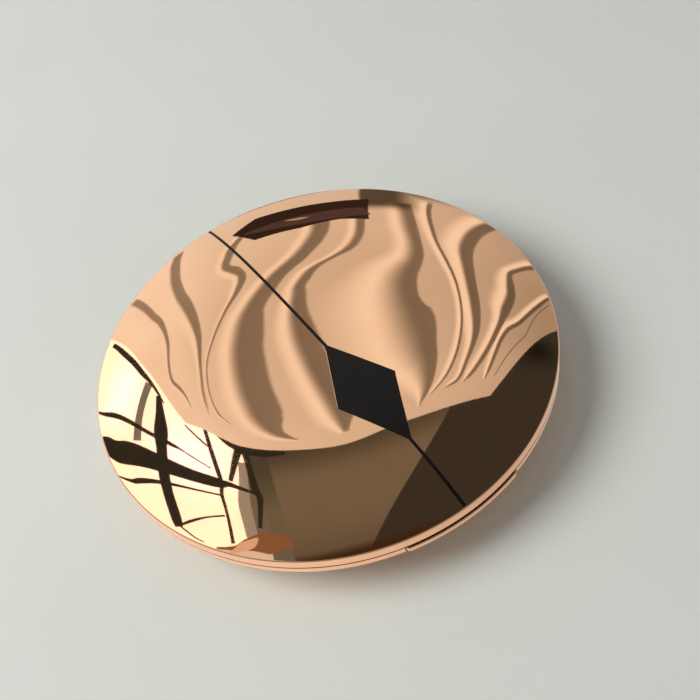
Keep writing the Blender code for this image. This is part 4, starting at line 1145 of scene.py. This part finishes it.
# A dark bar at the back, and ribbons on it and on the near side
DARK_BAR = ((-8.7, 15.2), (-5.7, 24.5), (0, 26), (5, 24.8), (8.6, 25.8), (9.8, 11.6), (4.6, 11.7),
            (-0.6, 10.9), (-5.2, 9.6))
DARK_BAR_TONE = (0.036, 0.024, 0.021)
DARK_BAR_DEPTH = 0.9
ACCENTS = (
    ("bar_sheen", 0.85, (0.085, 0.064, 0.064),
     ((-7, 18.2, 0.8), (-3, 20, 4), (1.5, 21.2, 5.6), (5.3, 21, 5.6), (8.9, 20.6, 5))),
    ("bar_glint", 0.8, (0.45, 0.4, 0.36),
     ((-1.6, 19, 0.2), (0.2, 20.2, 1.3), (1.4, 20.5, 0.2))),
    ("copper_edge", 1.1, (0.26, 0.15, 0.085),
     ((-33, 91.5, 0.8), (-28.6, 92.8, 1.9), (-24.7, 92.5, 5.4), (-21.3, 92.9, 8.6), (-18.6, 94, 7),
      (-16.4, 95.6, 0.3))),
    ("copper_glint", 1.05, (0.8, 0.62, 0.52),
     ((-31, 94.4, 0.4), (-28.2, 93.6, 2.2), (-25.2, 92.2, 3.2), (-22.4, 90.2, 0.5))),
)


def window_shade(lateral, pitch):
    white = np.zeros_like(pitch)
    for side, level, size in WINDOW_WHITE:
        off = (lateral - side) ** 2 + (pitch - level) ** 2
        white = np.maximum(white, np.exp(-off / size ** 2))
    return WINDOW_TONE + tinted(white, WINDOW_WHITER)


def side_shade(lateral, pitch):
    return tinted(1.0 + SIDE_LIFT * smooth(pitch, *SIDE_RISE), SIDE_TONE)


def head_shade(lateral, pitch):
    return np.array(HEAD_TONE)


def nearing(shade, pitch):
    """Shade that turns red-brown towards the near side."""
    return shade + (np.array(NEAR_TONE) - shade) * smooth(pitch, *NEAR_TURN)[..., None]


def ceiling_shade(lateral, pitch):
    lift = smooth(pitch, *CEILING_RISE) * (1.0 - CEILING_DROP * smooth(pitch, *CEILING_FALL))
    return nearing(tinted(CEILING_DIM + CEILING_LIFT * lift, CEILING_TINT), pitch)


def corner_shade(lateral, pitch):
    spot = np.exp(-((lateral - SPOT_PLACE[0]) / SPOT_SIZE[0]) ** 2
                  - ((pitch - SPOT_PLACE[1]) / SPOT_SIZE[1]) ** 2)
    return nearing(tinted(CORNER_TONE * (1.0 - SPOT_DEPTH * spot), CORNER_TINT), pitch)


# Sheets: name, distance in CARD_DISTANCE, edges, lowest and highest pitch, and what shades them
WINDOW = ("window", 1.6, LEFT_EDGE, WINDOW_EDGE, 5.0, 91.5, window_shade)
WALLS = (
    ("window_side", 1.4, WINDOW_EDGE, FRAME_EDGE, 56.0, STAGE_TOP, side_shade),
    ("window_head", 1.7, LEFT_EDGE, WINDOW_EDGE, 60.0, STAGE_TOP, head_shade),
    ("ceiling", 2.2, FRAME_EDGE, CORNER_EDGE, 56.0, STAGE_TOP, ceiling_shade),
    ("dark_corner", 1.9, CORNER_EDGE, RIGHT_EDGE, 40.0, STAGE_TOP, corner_shade),
)


def make_sheet(name, depth, left, right, low, high, shade):
    """A card between two edges, which fades into the studio at its top and at the far left and right.
    """
    columns, rows = SHEET_GRID
    share, pitch = np.meshgrid(np.linspace(0.0, 1.0, columns), np.linspace(low, high, rows))
    start, end = (np.interp(pitch, *np.array(edge).T[::-1]) for edge in (left, right))
    lateral = start + (end - start) * share
    sides = np.maximum(smooth(lateral, *LEFT_FADE), smooth(lateral, *RIGHT_FADE))
    faded_card(name, depth, lateral, pitch, shade(lateral, pitch),
               np.maximum(sides, smooth(pitch, *TOP_FADE)))


def make_room():
    """A bright window with dark bars at the left, dim walls, a dark bar at the back and glints."""
    make_sheet(*WINDOW)
    for number, points in enumerate(WINDOW_BARS):
        ribbon(f"window_bar_{number}", BAR_DEPTH, BAR_TONE, points)
    for trim in WINDOW_TRIM:
        ribbon(*trim)
    for wall in WALLS:
        make_sheet(*wall)
    places = towards(*np.array(DARK_BAR).T, CARD_DISTANCE * DARK_BAR_DEPTH)
    add_card("dark_bar", places, [range(len(DARK_BAR))], DARK_BAR_TONE)
    for accent in ACCENTS:
        ribbon(*accent)


FLOOR_HALF = 12.0
SHEEN_LIFT = 0.02 * MM
SHEEN_REACH = (39.0, 300.0)  # mm from the middle
SHEEN_GRID = (145, 12)
SHEEN_LEFT = (135.0, 75.0)  # where it grows brighter and dimmer again, in degrees round
SHEEN_RIGHT = (330.0, -60.0)
SHEEN_TONE = 0.60
SHEEN_GAIN = 0.30
SHEEN_TINT = (1.06, 0.98, 0.97)
KEY_PLACE = (-42.0, 92.0, 0.9)  # lateral, pitch and metres
KEY_SIZE = 0.6
KEY_POWER = 6.7
KEY_COLOUR = (1.0, 0.985, 0.95)


def make_sheen():
    """A sheet just over the floor round the compact, which brightens what its rim reflects."""
    columns, rows = SHEEN_GRID
    turn, reach = np.meshgrid(np.linspace(0.0, 360.0, columns),
                              np.linspace(*SHEEN_REACH, rows) * MM)
    lit = smooth(turn, *SHEEN_LEFT) * smooth(turn, *SHEEN_RIGHT)
    way = np.radians(turn)
    lift = np.full_like(way, SHEEN_LIFT)
    local = np.stack((reach * np.sin(way), reach * np.cos(way), lift), axis=-1)
    grid_card("floor_sheen", local @ VIEW_TURN.T, tinted(SHEEN_TONE + SHEEN_GAIN * lit, SHEEN_TINT))


def make_floor():
    build = bmesh.new()
    bmesh.ops.create_grid(build, x_segments=2, y_segments=2, size=FLOOR_HALF)
    floor = add_object("floor", build)
    dress(floor, "floor")


def make_key_light():
    data = bpy.data.lights.new("key", "AREA")
    data.shape = "DISK"
    data.size = KEY_SIZE
    data.energy = KEY_POWER
    data.color = KEY_COLOUR
    light = new_object("key", data)
    light.location = Vector(towards(*KEY_PLACE))
    light.rotation_mode = "QUATERNION"
    light.rotation_quaternion = light.location.to_track_quat("Z", "Y")
    light.visible_glossy = False
    light.visible_camera = False


def make_world():
    world = bpy.data.worlds.new("studio")
    world.use_nodes = True
    tree = world.node_tree
    place = add_node(tree, "TexCoord").outputs["Generated"]
    height = add_node(tree, "SeparateXYZ", Vector=place).outputs["Z"]
    ramp = add_node(tree, "ValToRGB", Fac=height)
    low, high = ramp.color_ramp.elements
    low.color = (*STUDIO_LOW, 1.0)
    high.color = (*STUDIO_HIGH, 1.0)
    background = tree.nodes["Background"].inputs
    tree.links.new(ramp.outputs["Color"], background["Color"])
    background["Strength"].default_value = STUDIO_LIGHT
    bpy.context.scene.world = world


make_camera()
make_panel()
make_room()
make_sheen()
make_floor()
make_key_light()
make_world()
bpy.context.scene.view_settings.view_transform = "Standard"
